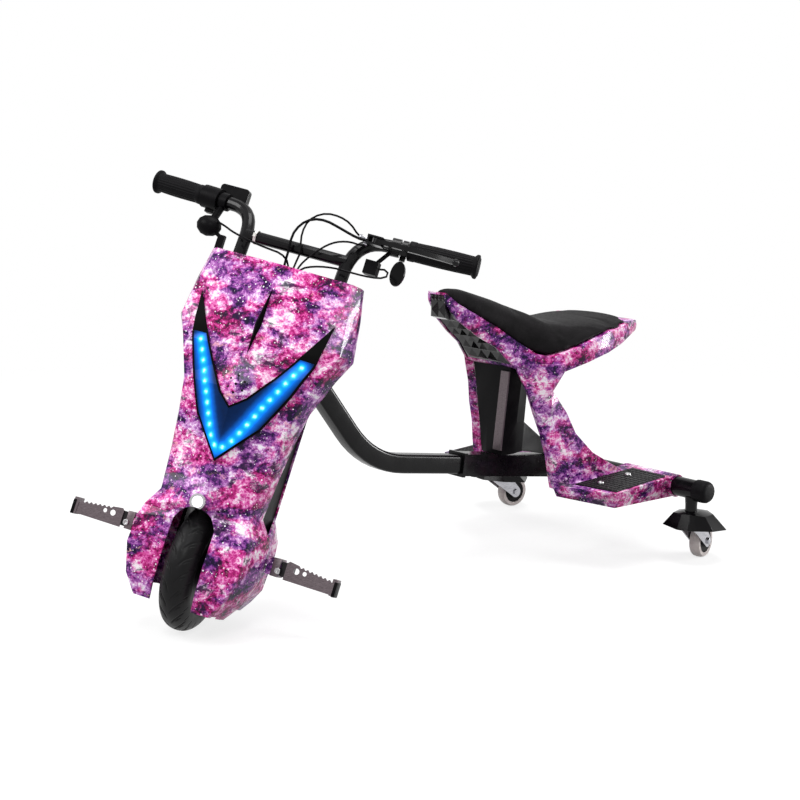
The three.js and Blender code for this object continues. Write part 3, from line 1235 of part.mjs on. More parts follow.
function brakeLever() {
  const pivot = at(perch.pivotAcross, perch.pivotForward, perchAlong);
  const half = lever.bladeWide / 2;
  const shape = new THREE.Shape();
  const placeShares = [0.06, 0.3, 0.55, 0.8, 1];
  const bowAt = (share) => lever.bow * Math.sin(Math.PI * share);
  shape.moveTo(0, -half);
  placeShares.forEach((share) => shape.lineTo(lever.length * share, -half * (1 - share * 0.35) + bowAt(share)));
  [...placeShares].reverse().forEach((share) => shape.lineTo(lever.length * share, half * (1 - share * 0.35) + bowAt(share)));
  shape.lineTo(0, half);
  const flat = extruded(shape, lever.thick).translate(0, 0, -lever.thick / 2);
  const arm = solid(flat.rotateX(Math.PI).translate(pivot.x, pivot.y, pivot.z));
  const eye = rod(
    pivot.clone().add(new THREE.Vector3(0, 0, -lever.thick / 2)), pivot.clone().add(new THREE.Vector3(0, 0, lever.thick / 2)),
    lever.eyeRadius, 20);
  const end = ball(pivot.clone().add(at(lever.length, 0, 0)), lever.ballRadius, 10);
  const bore = rod(
    pivot.clone().add(new THREE.Vector3(0, 0, -overrun)), pivot.clone().add(new THREE.Vector3(0, 0, overrun)),
    perch.pinRadius + gap, 16);
  return joined([arm, eye, end]).subtract(bore);
}

function bellClamp() {
  const [ring, bore] = clampRing(1, bell.start, bell.end, bell.radius);
  const top = gripPoint((bell.start + bell.end) / 2, 1);
  const drop = rod(top, top.clone().add(at(0, 0, -bell.drop)), bell.stem, 12);
  return ring.add(drop).subtract(bore);
}

// Oval thumb paddle that hangs under the clamp beside the left grip
function bellPaddle() {
  const top = gripPoint((bell.start + bell.end) / 2, 1);
  const high = top.z - bell.drop - runningGap;
  const centre = new THREE.Vector3(top.x, top.y, high - bell.halfHigh);
  const shape = new THREE.Shape();
  shape.absellipse(0, 0, bell.halfWide, bell.halfHigh, 0, 2 * Math.PI);
  return solid(extruded(shape, bell.thick, 10).rotateX(Math.PI / 2).translate(centre.x, centre.y + bell.thick / 2, centre.z));
}

function hornBox() {
  const low = at(horn.across - horn.wide / 2, horn.forward + horn.deep / 2, hornAlong - horn.high / 2);
  const high = at(horn.across + horn.wide / 2, horn.forward - horn.deep / 2, hornAlong + horn.high / 2);
  const body = box(low, high);
  const top = gripPoint((perch.start + perch.end) / 2, 1);
  const foot = at(horn.across + horn.wide / 2 - horn.hanger, horn.forward, hornAlong + horn.high / 3);
  const hanger = rod(foot, top, horn.hanger / 2, 8);
  const [ring] = clampRing(1, perch.start - gap, perch.end + gap, perch.radius + gap);
  return body.add(hanger.subtract(ring)).subtract(barTube(1, bar.radius + gap));
}

function zipTie() {
  const across = -fork.plateHalfWidth * 0.7;
  const half = cord.thick;
  const outer = rod(
    at(across - half, barRise.forward, barCross), at(across + half, barRise.forward, barCross),
    bar.crossRadius + half, 14);
  const bore = rod(
    at(across - overrun, barRise.forward, barCross), at(across + overrun, barRise.forward, barCross),
    bar.crossRadius + gap * 2, 14);
  const lock = box(
    at(across - half, barRise.forward + bar.crossRadius + half * 2.2, barCross - half),
    at(across + half, barRise.forward + bar.crossRadius + gap, barCross + half * 2));
  return outer.add(lock).subtract(bore);
}

// Cord routes, each point across, forward and above the steering plate's underside
const cordRoutes = {
  cable_brake: {
    radius: cord.thin,
    points: [[101, 30, 130], [95, 30.5, 133], [86, 32, 141], [72, 34, 149], [53, 34, 153], [36, 34, 152], [21, 34, 145],
      [10, 34, 133], [6, 34, 118], [7, 35, 102], [11, 36, 89], [13, 36, 76], [10, 32, 62], [6.5, 27, 43]],
  },
  cable_brake_switch: {
    radius: cord.thick,
    points: [[113.6, 36.5, 126], [100, 38, 126], [85, 40, 129], [64, 44, 134], [44, 46, 138], [26, 46, 137], [11, 46, 130],
      [1, 45, 119], [-5, 44, 105], [-6, 42, 88], [-6, 38, 74], [-8, 31, 61], [-9, 24, 43]],
  },
  cable_lever: {
    radius: cord.thin,
    points: [[113.2, 23.5, 122], [104, 27, 118], [88, 35, 117], [70, 41, 111], [56, 42, 102], [43, 42, 89], [31, 40, 75],
      [20, 34, 61], [12, 28, 43]],
  },
  cable_throttle: {
    radius: cord.thin,
    points: [[-147.9, 11, 96.4], [-130, 20, 91], [-111, 32, 84], [-89, 44, 78], [-70, 50, 74], [-51, 51, 71], [-33, 52, 69],
      [-14, 50, 67], [-4, 44, 62], [1, 38, 54], [0, 33, 43]],
  },
  cable_horn: {
    radius: cord.thin,
    points: [[141, 12, 90], [152, 16, 91], [161, 23, 85], [160, 30, 77], [149, 36, 72], [131, 42, 69], [110, 46, 68],
      [85, 46, 68], [65, 45, 66], [45, 42, 62], [27, 36, 56], [19, 30, 50], [17.5, 28, 43]],
  },
};

function cable(route) {
  const curve = new THREE.CatmullRomCurve3(
    route.points.map(([across, forward, above]) => at(across, forward, plateLow + above)));
  return swept(circleShape(route.radius, cord.sides), curve.getSpacedPoints(cord.steps));
}

// Pegs, made on the left and mirrored for the right

function pegBracket() {
  const start = fork.legInside + fork.legThick + gap;
  const half = peg.bracketDeep / 2;
  const arm = box(
    at(start, peg.forward + peg.armDeep / 2, pegAlong - peg.armHigh / 2),
    at(peg.bracketInside + peg.bracketWall, peg.forward - peg.armDeep / 2, pegAlong + peg.armHigh / 2));
  const base = box(
    at(peg.bracketInside, peg.forward + half, pegAlong - peg.bracketHigh / 2),
    at(peg.bracketInside + peg.bracketWall, peg.forward - half, pegAlong + peg.bracketHigh / 2));
  const cheeks = [half, peg.bracketWall - half].map((front) => box(
    at(peg.bracketInside, peg.forward + front, pegAlong - peg.bracketHigh / 2),
    at(peg.bracketEnd, peg.forward + front - peg.bracketWall, pegAlong + peg.bracketHigh / 2)));
  const bolt = rod(
    at(peg.pivot, peg.forward + half + peg.boltHead, pegAlong), at(peg.pivot, peg.forward - half - peg.boltHead, pegAlong),
    peg.boltRadius, 16);
  const heads = [[half - gap, half + peg.boltHead], [-half - peg.boltHead, gap - half]].map(([from, to]) => rod(
    at(peg.pivot, peg.forward + from, pegAlong), at(peg.pivot, peg.forward + to, pegAlong), peg.boltHeadRadius, 12));
  return joined([arm, base, ...cheeks, bolt, ...heads]);
}

function pegBlock() {
  const half = peg.bracketDeep / 2 - peg.bracketWall - runningGap;
  const eyeRadius = peg.pivot - peg.bracketInside - peg.bracketWall - runningGap;
  const eye = rod(at(peg.pivot, peg.forward - half, pegAlong), at(peg.pivot, peg.forward + half, pegAlong), eyeRadius, 20);
  const body = box(
    at(peg.pivot, peg.forward + half, pegAlong - eyeRadius),
    at(peg.blockEnd, peg.forward - half, pegAlong + eyeRadius));
  const head = box(
    at(peg.bracketEnd + runningGap * 4, peg.forward + half, pegAlong - peg.blockHigh / 2),
    at(peg.blockEnd, peg.forward - half, pegAlong + peg.blockHigh / 2));
  const bore = rod(
    at(peg.pivot, peg.forward - overrun, pegAlong), at(peg.pivot, peg.forward + overrun, pegAlong),
    peg.boltRadius + gap, 16);
  return joined([eye, body, head]).subtract(bore);
}

function pegBlade() {
  const low = pegAlong - peg.bladeHigh / 2;
  const topAt = (across) => {
    const share = (across - peg.bladeStart) / (peg.bladeEnd - peg.bladeStart);
    return low + peg.bladeHigh + (peg.bladeTip - peg.bladeHigh) * share;
  };
  const shape = new THREE.Shape();
  shape.moveTo(peg.bladeStart, low);
  shape.lineTo(peg.bladeEnd, low);
  shape.lineTo(peg.bladeEnd, topAt(peg.bladeEnd));
  const pitch = (peg.bladeEnd - peg.toothStart) / peg.toothCount;
  for (let i = peg.toothCount - 1; i >= 0; i -= 1) {
    const start = peg.toothStart + pitch * i;
    shape.lineTo(start + pitch / 2, topAt(start + pitch / 2) - peg.tooth);
    shape.lineTo(start, topAt(start));
  }
  shape.lineTo(peg.bladeStart + peg.tooth, topAt(peg.bladeStart));
  shape.lineTo(peg.bladeStart, topAt(peg.bladeStart) - peg.tooth);
  [[peg.holeStart, peg.bigHole], [peg.holeStart + peg.holePitch, peg.smallHole]].forEach(([across, radius]) => {
    const hole = new THREE.Path();
    hole.absarc(across, pegAlong + peg.tooth, radius, 0, 2 * Math.PI, true);
    shape.holes.push(hole);
  });
  const front = peg.forward + peg.bracketDeep / 2 - peg.bracketWall - runningGap + gap + peg.sheet;
  const plate = solid(extruded(shape, peg.sheet, 6).rotateX(Math.PI / 2).translate(0, -front + peg.sheet, 0));
  const flange = box(
    at(peg.blockEnd + gap * 2, front, low), at(peg.bladeEnd, front - peg.flange, low + peg.sheet));
  const cap = box(
    at(peg.bladeEnd - peg.sheet, front + peg.sheet / 2, low - peg.sheet / 2),
    at(peg.bladeEnd + peg.capLength, front - peg.flange, low + peg.capHigh));
  return joined([plate, flange, cap]);
}

function rearFrame() {
  const group = new THREE.Group();
  const beamGroup = new THREE.Group();
  beamGroup.position.set(0, cross.y, cross.z);
  beamGroup.rotation.x = -beam.slope;
  beamGroup.add(piece('rear_sleeve', beamSleeve(), 'blackPaint'));
  beamGroup.add(piece('sleeve_bolt', clampBolt(), 'steel'));
  group.add(beamGroup);
  group.add(piece('cross_tube', crossTube(), 'blackPaint'));
  group.add(piece('tube_cap_left', tubeCap(1), 'rubber'));
  group.add(piece('tube_cap_right', tubeCap(-1), 'rubber'));
  return group;
}

function saddle() {
  const group = new THREE.Group();
  group.add(piece('seat_shell', seatShell(), 'printed'));
  group.add(piece('pyramid_panel', pyramidPanel(), 'blackPlastic'));
  group.add(piece('seat_base', seatBase(), 'blackPlastic'));
  group.add(piece('seat_cushion', seatCushion(), 'leather'));
  group.add(piece('column_cover', columnCover(), 'blackPlastic'));
  group.add(piece('column_strap', columnStrap(), 'steel'));
  group.add(piece('rear_gusset', rearGusset(), 'blackPlastic'));
  group.add(piece('leg_cover_left', legCover(), 'printed'));
  group.add(piece('leg_cover_right', mirrored(legCover()), 'printed'));
  group.add(piece('foot_pad_left', footPad(), 'rubber'));
  group.add(piece('foot_pad_right', mirrored(footPad()), 'rubber'));
  return group;
}

function casterSwivel(name, side) {
  const group = new THREE.Group();
  group.position.set(side * caster.x, cross.y, 0);
  group.rotation.z = casterTurns[name];
  group.add(piece(`caster_fork_${name}`, casterFork(), 'chrome'));
  group.add(piece(`caster_hood_${name}`, casterHood(), 'blackPlastic'));
  group.add(piece(`caster_tyre_${name}`, casterTyre(), 'white'));
  group.add(piece(`caster_hub_${name}`, casterHub(), 'blackPlastic'));
  return group;
}

function steeredFront() {
  const lean = new THREE.Group();
  lean.position.set(0, axisGroundY, 0);
  lean.rotation.x = -axisLean;
  const group = new THREE.Group();
  group.name = 'steered_front';
  group.rotation.z = steerTurn;
  lean.add(group);
  group.add(piece('steerer_fork', steererFork(), 'blackPaint'));
  group.add(piece('front_axle', frontAxle(), 'steel'));
  group.add(piece('front_tyre', frontTyre(), 'rubber'));
  group.add(piece('front_hub', frontHub(), 'blackPaint'));
  group.add(piece('fairing_front', fairingFront(), 'printed'));
  group.add(piece('fairing_inner', fairingInner(), 'blackPlastic'));
  group.add(piece('fairing_tail', fairingTail(), 'printed'));
  group.add(piece('light_lens', lightLens(), 'blueLens'));
  group.add(piece('light_trim', lightTrim(), 'blackPlastic'));
  group.add(piece('centre_blade', centreBlade(), 'blackPlastic'));
  group.add(piece('lamp_ring', lampRing(), 'steel'));
  group.add(piece('lamp_lens', lampLens(), 'lampLens'));
  group.add(piece('handlebar', handlebar(), 'blackPaint'));
  group.add(piece('grip_left', grip(1, bar.gripStart), 'rubber'));
  group.add(piece('grip_throttle', grip(-1, bar.throttleGap), 'rubber'));
  group.add(piece('throttle_housing', throttleHousing(), 'blackPlastic'));
  group.add(piece('display_case', displayCase(), 'blackPlastic'));
  group.add(piece('switch_pod', switchPod(), 'blackPlastic'));
  group.add(piece('brake_perch', brakePerch(), 'blackPaint'));
  group.add(piece('brake_lever', brakeLever(), 'blackPaint'));
  group.add(piece('bell_clamp', bellClamp(), 'blackPlastic'));
  group.add(piece('bell_paddle', bellPaddle(), 'blackPlastic'));
  group.add(piece('horn_box', hornBox(), 'blackPlastic'));
  group.add(piece('zip_tie', zipTie(), 'white'));
  Object.entries(cordRoutes).forEach(([name, route]) => group.add(piece(name, cable(route), 'rubber')));
  group.add(piece('peg_bracket_left', pegBracket(), 'printed'));
  group.add(piece('peg_bracket_right', mirrored(pegBracket()), 'printed'));
  group.add(piece('peg_block_left', pegBlock(), 'steel'));
  group.add(piece('peg_block_right', mirrored(pegBlock()), 'steel'));
  group.add(piece('peg_blade_left', pegBlade(), 'steel'));
  group.add(piece('peg_blade_right', mirrored(pegBlade()), 'steel'));
  return lean;
}

const scooter = new THREE.Group();
scooter.name = 'drifting_scooter';
scooter.add(rearFrame(), saddle(), casterSwivel('left', 1), casterSwivel('right', -1), steeredFront());
scooter.add(piece('main_tube', beamTube(), 'blackPaint'));

// The whole stands on the ground with the middle of its outline over the origin
scooter.updateMatrixWorld(true);
const bounds = new THREE.Box3().setFromObject(scooter, true);
const middle = bounds.getCenter(new THREE.Vector3());
scooter.position.set(-middle.x, -middle.y, -bounds.min.z);

export default scooter;
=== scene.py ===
# %% [markdown]
# This lesson dresses a three-wheeled drifting scooter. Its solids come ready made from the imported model,
# and every one of them stays where it is. Blender adds rounded edges, the cushion, the tread, the lights
# and all the finishes. Everything is in metres, with the ground at zero and the front towards minus Y.

# %% Load the frame
import json
import math

import bmesh
import bpy
from mathutils import Matrix, Vector
from mathutils.bvhtree import BVHTree


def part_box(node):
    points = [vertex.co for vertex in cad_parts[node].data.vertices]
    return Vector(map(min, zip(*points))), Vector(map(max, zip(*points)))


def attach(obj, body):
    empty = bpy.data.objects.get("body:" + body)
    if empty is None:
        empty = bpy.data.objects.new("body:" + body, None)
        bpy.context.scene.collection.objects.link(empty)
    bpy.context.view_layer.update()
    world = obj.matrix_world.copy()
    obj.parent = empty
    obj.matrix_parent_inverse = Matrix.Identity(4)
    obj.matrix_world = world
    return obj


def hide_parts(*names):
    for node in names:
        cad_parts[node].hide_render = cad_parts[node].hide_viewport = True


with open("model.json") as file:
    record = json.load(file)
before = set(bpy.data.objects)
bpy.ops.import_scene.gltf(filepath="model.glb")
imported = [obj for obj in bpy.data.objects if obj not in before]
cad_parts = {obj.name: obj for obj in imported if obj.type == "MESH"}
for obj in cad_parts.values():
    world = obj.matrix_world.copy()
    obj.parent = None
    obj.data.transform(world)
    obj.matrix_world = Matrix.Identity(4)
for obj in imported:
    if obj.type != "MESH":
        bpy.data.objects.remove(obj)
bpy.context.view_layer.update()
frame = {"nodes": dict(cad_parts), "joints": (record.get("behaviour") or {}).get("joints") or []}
nodes = frame["nodes"]
MM = 0.001

# %% [markdown]
# The steered front leans back and is turned to the rider's left. Its three directions come from the
# joints of the frame: up the steering axis, out along the wheel's axle, and forward of both. A place
# on the front is then given across, forward of the axis and along it, in millimetres.

# %% Directions of the steered front
CROSS_TUBE_HEIGHT = 138 * MM
CROSS_TUBE_RADIUS = 18 * MM
SIDES = (("left", 1), ("right", -1))


def middle_of(name):
    """The middle of a node's box."""
    low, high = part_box(name)
    return (low + high) / 2


joints = {joint["name"]: joint for joint in frame["joints"]}
tube_middle = middle_of("cross_tube")
tube_middle.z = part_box("cross_tube")[1].z - CROSS_TUBE_RADIUS
axis_up = Vector(joints["steering"]["axis"]).normalized()
axis_out = Vector(joints["front_wheel_spin"]["axis"]).normalized()
axis_forward = axis_out.cross(axis_up).normalized()
if axis_forward.y > 0:
    axis_forward = -axis_forward
axis_foot = Vector(joints["steering"]["pos_m"])
ground_drop = tube_middle.z - CROSS_TUBE_HEIGHT - axis_foot.z
axis_foot += axis_up * (ground_drop / axis_up.z)


def at(across, forward, along):
    """A place on the steered front, in millimetres from the foot of the steering axis."""
    return axis_foot + (axis_out * across + axis_forward * forward + axis_up * along) * MM


def front_place(point):
    """The reverse of at: across, forward and along of a point, in millimetres."""
    away = (point - axis_foot) / MM
    return away.dot(axis_out), away.dot(axis_forward), away.dot(axis_up)


grip_place = front_place(middle_of("grip_left"))
print("axis foot", [round(v, 4) for v in axis_foot], "grip", [round(v) for v in grip_place])

# %% [markdown]
# The camera stands where the photographer stood. Its place was worked out from points of the
# photograph, with the usual sizes of grip flanges and casters as the scale. It is given as an angle
# round the scooter, an angle above the ground, a distance and the length of the lens.

# %% Camera
CAMERA_AZIMUTH = math.radians(49.74)
CAMERA_ELEVATION = math.radians(10.63)
CAMERA_DISTANCE = 3.0047
LENS_LENGTH = 77.28
SENSOR_WIDTH = 36
AIM_BEHIND_TUBE = -477.4 * MM
AIM_HEIGHT = 324.3 * MM


def make_camera():
    """A long lens, as in a studio."""
    data = bpy.data.cameras.new("studio_camera")
    data.lens = LENS_LENGTH
    data.sensor_width = SENSOR_WIDTH
    camera = bpy.data.objects.new("studio_camera", data)
    bpy.context.scene.collection.objects.link(camera)
    back = Vector((
        math.sin(CAMERA_AZIMUTH) * math.cos(CAMERA_ELEVATION),
        -math.cos(CAMERA_AZIMUTH) * math.cos(CAMERA_ELEVATION),
        math.sin(CAMERA_ELEVATION)))
    aim = tube_middle + Vector((0, AIM_BEHIND_TUBE, AIM_HEIGHT - CROSS_TUBE_HEIGHT))
    camera.location = aim + back * CAMERA_DISTANCE
    camera.rotation_mode = "QUATERNION"
    camera.rotation_quaternion = (-back).to_track_quat("-Z", "Y")
    bpy.context.scene.camera = camera
    return camera


camera = make_camera()
print("camera", [round(v, 4) for v in camera.location])

# %% [markdown]
# A finish is a small network of nodes. Colours are written as the hex codes that a painter would
# pick, and one function turns them into the linear numbers that a shader needs. One more function
# adds a node with its settings and its links, so that each material reads as a short recipe.

# %% Colour and node helpers


def linear(code, strength=1.0):
    """A hex colour such as #8a4a9a as linear red, green, blue and a full alpha."""
    shown = [int(code[i:i + 2], 16) / 255 for i in (1, 3, 5)]
    made = [c / 12.92 if c <= 0.04045 else ((c + 0.055) / 1.055) ** 2.4 for c in shown]
    return (*[c * strength for c in made], 1.0)


def add(material, kind, inputs=None, stops=None, **settings):
    """Adds a node: settings are its own, inputs are values or the sockets to link from."""
    tree = material.node_tree
    made = tree.nodes.new(kind)
    for name, value in settings.items():
        setattr(made, name, value)
    for name, value in (inputs or {}).items():
        if isinstance(value, bpy.types.NodeSocket):
            tree.links.new(value, made.inputs[name])
        elif isinstance(value, str):
            made.inputs[name].default_value = linear(value)
        else:
            made.inputs[name].default_value = value
    if stops:
        points = made.color_ramp.elements
        while len(points) < len(stops):
            points.new(1.0)
        for point, (place, shade) in zip(points, stops):
            point.position = place
            point.color = linear(shade) if isinstance(shade, str) else (shade, shade, shade, 1.0)
    return made


def start(name):
    """An empty material with its Object coordinates."""
    material = bpy.data.materials.new(name)
    material.use_nodes = True
    material.node_tree.nodes.clear()
    place = add(material, "ShaderNodeTexCoord")
    return material, place.outputs["Object"]


def close(material, inputs):
    """The shader and the output, which end every recipe."""
    shader = add(material, "ShaderNodeBsdfPrincipled", inputs)
    add(material, "ShaderNodeOutputMaterial", {"Surface": shader.outputs["BSDF"]})
    return material


def per(size):
    """The noise scale whose features are about this many millimetres across."""
    return 1 / (size * MM)


print("hot pink in linear numbers", [round(c, 3) for c in linear("#c0207c")])

# %% [markdown]
# The shells of this scooter are moulded ABS with a film print floated onto them in a water bath, and
# clear coat over that. The print is a cloudy night sky. Four noises are mixed: broad patches that
# choose between violet and hot pink, mottling some centimetres wide, fine grain, and hollows, whose
# highs sink into dark purple and whose lows turn pale coral. Pale dots of three spacings over them are
# the stars. The coat gives the eye a soft shine with a slight orange peel. All sizes are millimetres.

# %% Hydro-dipped print under clear coat
PATCH_SIZE = 75
CLOUD_SIZE = 38
HOLLOW_SIZE = 34
GRAIN_SIZE = 7
WARP_SIZE = 55
WARP_REACH = 0.06
STAR_FLOOR = -0.1
STAR_SPACINGS_AND_SHARES = ((3.8, 0.34), (6.5, 0.33), (14.0, 0.2))
ORANGE_PEEL_SIZE = 2.2


def night_sky(material, spot):
    """Violet and magenta clouds with fine grain, dark hollows and pale coral lows."""
    flat = add(material, "ShaderNodeMapping", {"Vector": spot, "Scale": (1.0, 1.0, 1.6)})
    place = flat.outputs["Vector"]
    warp = add(material, "ShaderNodeTexNoise", {
        "Vector": place, "Scale": per(WARP_SIZE), "Detail": 4.0, "Roughness": 0.6})
    bent = add(material, "ShaderNodeVectorMath", {
        0: warp.outputs["Color"], 1: (WARP_REACH, WARP_REACH, WARP_REACH)}, operation="MULTIPLY")
    moved = add(material, "ShaderNodeVectorMath", {0: place, 1: bent.outputs[0]}, operation="ADD")
    clouds = add(material, "ShaderNodeTexNoise", {
        "Vector": moved.outputs[0], "Scale": per(CLOUD_SIZE), "Detail": 8.0, "Roughness": 0.62,
        "Lacunarity": 2.2})
    grain = add(material, "ShaderNodeTexNoise", {
        "Vector": spot, "Scale": per(GRAIN_SIZE), "Detail": 5.0, "Roughness": 0.75})
    rough_sky = add(material, "ShaderNodeMath", {
        0: grain.outputs["Fac"], 1: 0.6, 2: clouds.outputs["Fac"]}, operation="MULTIPLY_ADD")
    level = add(material, "ShaderNodeMapRange", {
        "Value": rough_sky.outputs["Value"], "From Min": 0.66, "From Max": 0.95})
    violet = add(material, "ShaderNodeValToRGB", {"Fac": level.outputs["Result"]}, stops=[
        (0.0, "#16062c"), (0.2, "#4a1c68"), (0.4, "#8c4098"), (0.6, "#bc74c0"),
        (0.8, "#e2b4e6"), (1.0, "#fcf4ff")])
    rose = add(material, "ShaderNodeValToRGB", {"Fac": level.outputs["Result"]}, stops=[
        (0.0, "#30042a"), (0.2, "#7e0a50"), (0.4, "#c0207c"), (0.6, "#e05cb0"),
        (0.8, "#f4acd8"), (1.0, "#fff4fc")])
    region = add(material, "ShaderNodeTexNoise", {
        "Vector": moved.outputs[0], "Scale": per(PATCH_SIZE), "Detail": 6.0, "Roughness": 0.65})
    choice = add(material, "ShaderNodeValToRGB", {"Fac": region.outputs["Fac"]}, stops=[
        (0.46, 0.0), (0.55, 1.0)])
    sky = add(material, "ShaderNodeMix", {
        "Factor": choice.outputs["Color"], 6: violet.outputs["Color"], 7: rose.outputs["Color"]},
        data_type="RGBA")
    hollows = add(material, "ShaderNodeTexNoise", {
        "Vector": moved.outputs[0], "Scale": per(HOLLOW_SIZE), "Detail": 8.0, "Roughness": 0.66,
        "Distortion": 0.3})
    void = add(material, "ShaderNodeValToRGB", {"Fac": hollows.outputs["Fac"]}, stops=[
        (0.55, 0.0), (0.63, 0.92)])
    deep = add(material, "ShaderNodeMix", {
        "Factor": void.outputs["Color"], 6: sky.outputs[2], 7: linear("#1a0830")}, data_type="RGBA")
    rim = add(material, "ShaderNodeValToRGB", {"Fac": hollows.outputs["Fac"]}, stops=[
        (0.30, 0.8), (0.38, 0.0)])
    ember = add(material, "ShaderNodeMix", {
        "Factor": rim.outputs["Color"], 6: deep.outputs[2], 7: linear("#fcb8c0")}, data_type="RGBA")
    return ember.outputs[2]


def with_stars(material, spot, layers):
    """Pale dots over a sky, in three spacings."""
    for spacing, share in STAR_SPACINGS_AND_SHARES:
        stars = add(material, "ShaderNodeTexVoronoi", {"Vector": spot, "Scale": per(spacing)}, feature="F1")
        chance = add(material, "ShaderNodeSeparateColor", {"Color": stars.outputs["Color"]})
        size = add(material, "ShaderNodeMath", {
            0: chance.outputs["Red"], 1: share, 2: STAR_FLOOR}, operation="MULTIPLY_ADD")
        within = add(material, "ShaderNodeMath", {
            0: size.outputs["Value"], 1: stars.outputs["Distance"]}, operation="SUBTRACT")
        dots = add(material, "ShaderNodeValToRGB", {"Fac": within.outputs["Value"]}, stops=[
            (0.0, 0.0), (0.03, 1.0)])
        starry = add(material, "ShaderNodeMix", {
            "Factor": dots.outputs["Color"], 6: layers, 7: linear("#fff8fe")}, data_type="RGBA")
        layers = starry.outputs[2]
    return layers


def dipped_print():
    """A night sky with stars, printed on ABS under clear coat."""
    material, spot = start("hydro_dipped_abs_clear_coat")
    colour = with_stars(material, spot, night_sky(material, spot))
    peel = add(material, "ShaderNodeTexNoise", {
        "Vector": spot, "Scale": per(ORANGE_PEEL_SIZE), "Detail": 1.0})
    relief = add(material, "ShaderNodeBump", {
        "Height": peel.outputs["Fac"], "Strength": 0.05, "Distance": 0.2 * MM})
    return close(material, {
        "Base Color": colour, "Roughness": 0.32, "Specular IOR Level": 0.06, "IOR": 1.49,
        "Coat Weight": 0.2, "Coat Roughness": 0.05, "Coat IOR": 1.5,
        "Coat Normal": relief.outputs["Normal"]})


finishes = {"print": dipped_print()}
print("nodes of the print", len(finishes["print"].node_tree.nodes))

# %% [markdown]
# The plain finishes follow. Moulded plastic has a fine spark-eroded texture, powder coat has a slight
# orange peel, leathercloth has pebbled cells between creases, and rubber is dull with dusty patches.
# To the eye they are all black, told apart by how sharply each of them shines. Each pattern's size is
# in millimetres. The pebbles of the leathercloth are drawn half as coarse again as real ones, which
# would be too fine to show.

# %% Plastics, rubber and leathercloth
REAL_PEBBLE_SIZE = 1.6
DRAWN_COARSER = 1.5
CREASE_SIZE = 30


def cloudy(name, dark, light, patch, rough_low, rough_high, grain, depth, extra=None):
    """A base that drifts between two shades and two roughnesses, with a fine raised grain."""
    material, place = start(name)
    drift = add(material, "ShaderNodeTexNoise", {
        "Vector": place, "Scale": per(patch), "Detail": 5.0, "Roughness": 0.6})
    shade = add(material, "ShaderNodeValToRGB", {"Fac": drift.outputs["Fac"]}, stops=[
        (0.35, dark), (0.68, light)])
    rough = add(material, "ShaderNodeMapRange", {
        "Value": drift.outputs["Fac"], "From Min": 0.35, "From Max": 0.7,
        "To Min": rough_low, "To Max": rough_high})
    fine = add(material, "ShaderNodeTexNoise", {
        "Vector": place, "Scale": per(grain), "Detail": 3.0, "Roughness": 0.6})
    relief = add(material, "ShaderNodeBump", {
        "Height": fine.outputs["Fac"], "Strength": 0.5, "Distance": depth * MM})
    inputs = {
        "Base Color": shade.outputs["Color"], "Roughness": rough.outputs["Result"],
        "Normal": relief.outputs["Normal"], "Specular IOR Level": 0.06}
    inputs.update(extra or {})
    return close(material, inputs)


def leathercloth():
    """Black vinyl with a pebble grain, drawn coarser than it is so that it shows."""
    material, place = start("black_grained_leathercloth")
    cells = add(material, "ShaderNodeTexVoronoi", {
        "Vector": place, "Scale": per(REAL_PEBBLE_SIZE * DRAWN_COARSER), "Randomness": 0.9},
        feature="SMOOTH_F1")
    creases = add(material, "ShaderNodeTexNoise", {
        "Vector": place, "Scale": per(CREASE_SIZE), "Detail": 6.0, "Roughness": 0.65})
    height = add(material, "ShaderNodeMath", {
        0: cells.outputs["Distance"], 1: creases.outputs["Fac"]}, operation="ADD")
    relief = add(material, "ShaderNodeBump", {
        "Height": height.outputs["Value"], "Strength": 0.55, "Distance": 0.35 * MM})
    # The colour follows the crease noise of the relief, so the low creases are darker: painted shade in the
    # creases
    shade = add(material, "ShaderNodeValToRGB", {"Fac": creases.outputs["Fac"]}, stops=[
        (0.35, "#0b0a0b"), (0.7, "#181618")])
    worn = add(material, "ShaderNodeMapRange", {
        "Value": cells.outputs["Distance"], "From Max": 0.8, "To Min": 0.42, "To Max": 0.62})
    return close(material, {
        "Base Color": shade.outputs["Color"], "Roughness": worn.outputs["Result"],
        "Normal": relief.outputs["Normal"], "Specular IOR Level": 0.05})


finishes["leather"] = leathercloth()
print("nodes of the leathercloth", len(finishes["leather"].node_tree.nodes))

# %% [markdown]
# Bare metals: the step plates and the strap are pressed steel sheet with a warm grey wash coat and
# rolling streaks, and the caster forks, nuts and screws are bright zinc or chrome. The streaks run
# level, because the pattern is squeezed twelve times upwards. They show as faint lines in the shine.

# %% Metals
STREAK_SQUEEZE = 12.0
PIT_SIZE = 0.9


def streaked_metal(name, dark, light, streak, rough_low, rough_high, metallic):
    """Sheet metal with long streaks from the rolls and small pits."""
    material, place = start(name)
    drawn = add(material, "ShaderNodeMapping", {"Vector": place, "Scale": (1.0, 1.0, STREAK_SQUEEZE)})
    lines = add(material, "ShaderNodeTexNoise", {
        "Vector": drawn.outputs["Vector"], "Scale": per(streak), "Detail": 6.0, "Roughness": 0.7})
    shade = add(material, "ShaderNodeValToRGB", {"Fac": lines.outputs["Fac"]}, stops=[
        (0.35, dark), (0.65, light)])
    rough = add(material, "ShaderNodeMapRange", {
        "Value": lines.outputs["Fac"], "From Min": 0.3, "From Max": 0.7,
        "To Min": rough_low, "To Max": rough_high})
    pits = add(material, "ShaderNodeTexNoise", {"Vector": place, "Scale": per(PIT_SIZE), "Detail": 2.0})
    relief = add(material, "ShaderNodeBump", {
        "Height": pits.outputs["Fac"], "Strength": 0.25, "Distance": 0.12 * MM})
    return close(material, {
        "Base Color": shade.outputs["Color"], "Metallic": metallic, "Roughness": rough.outputs["Result"],
        "Normal": relief.outputs["Normal"]})


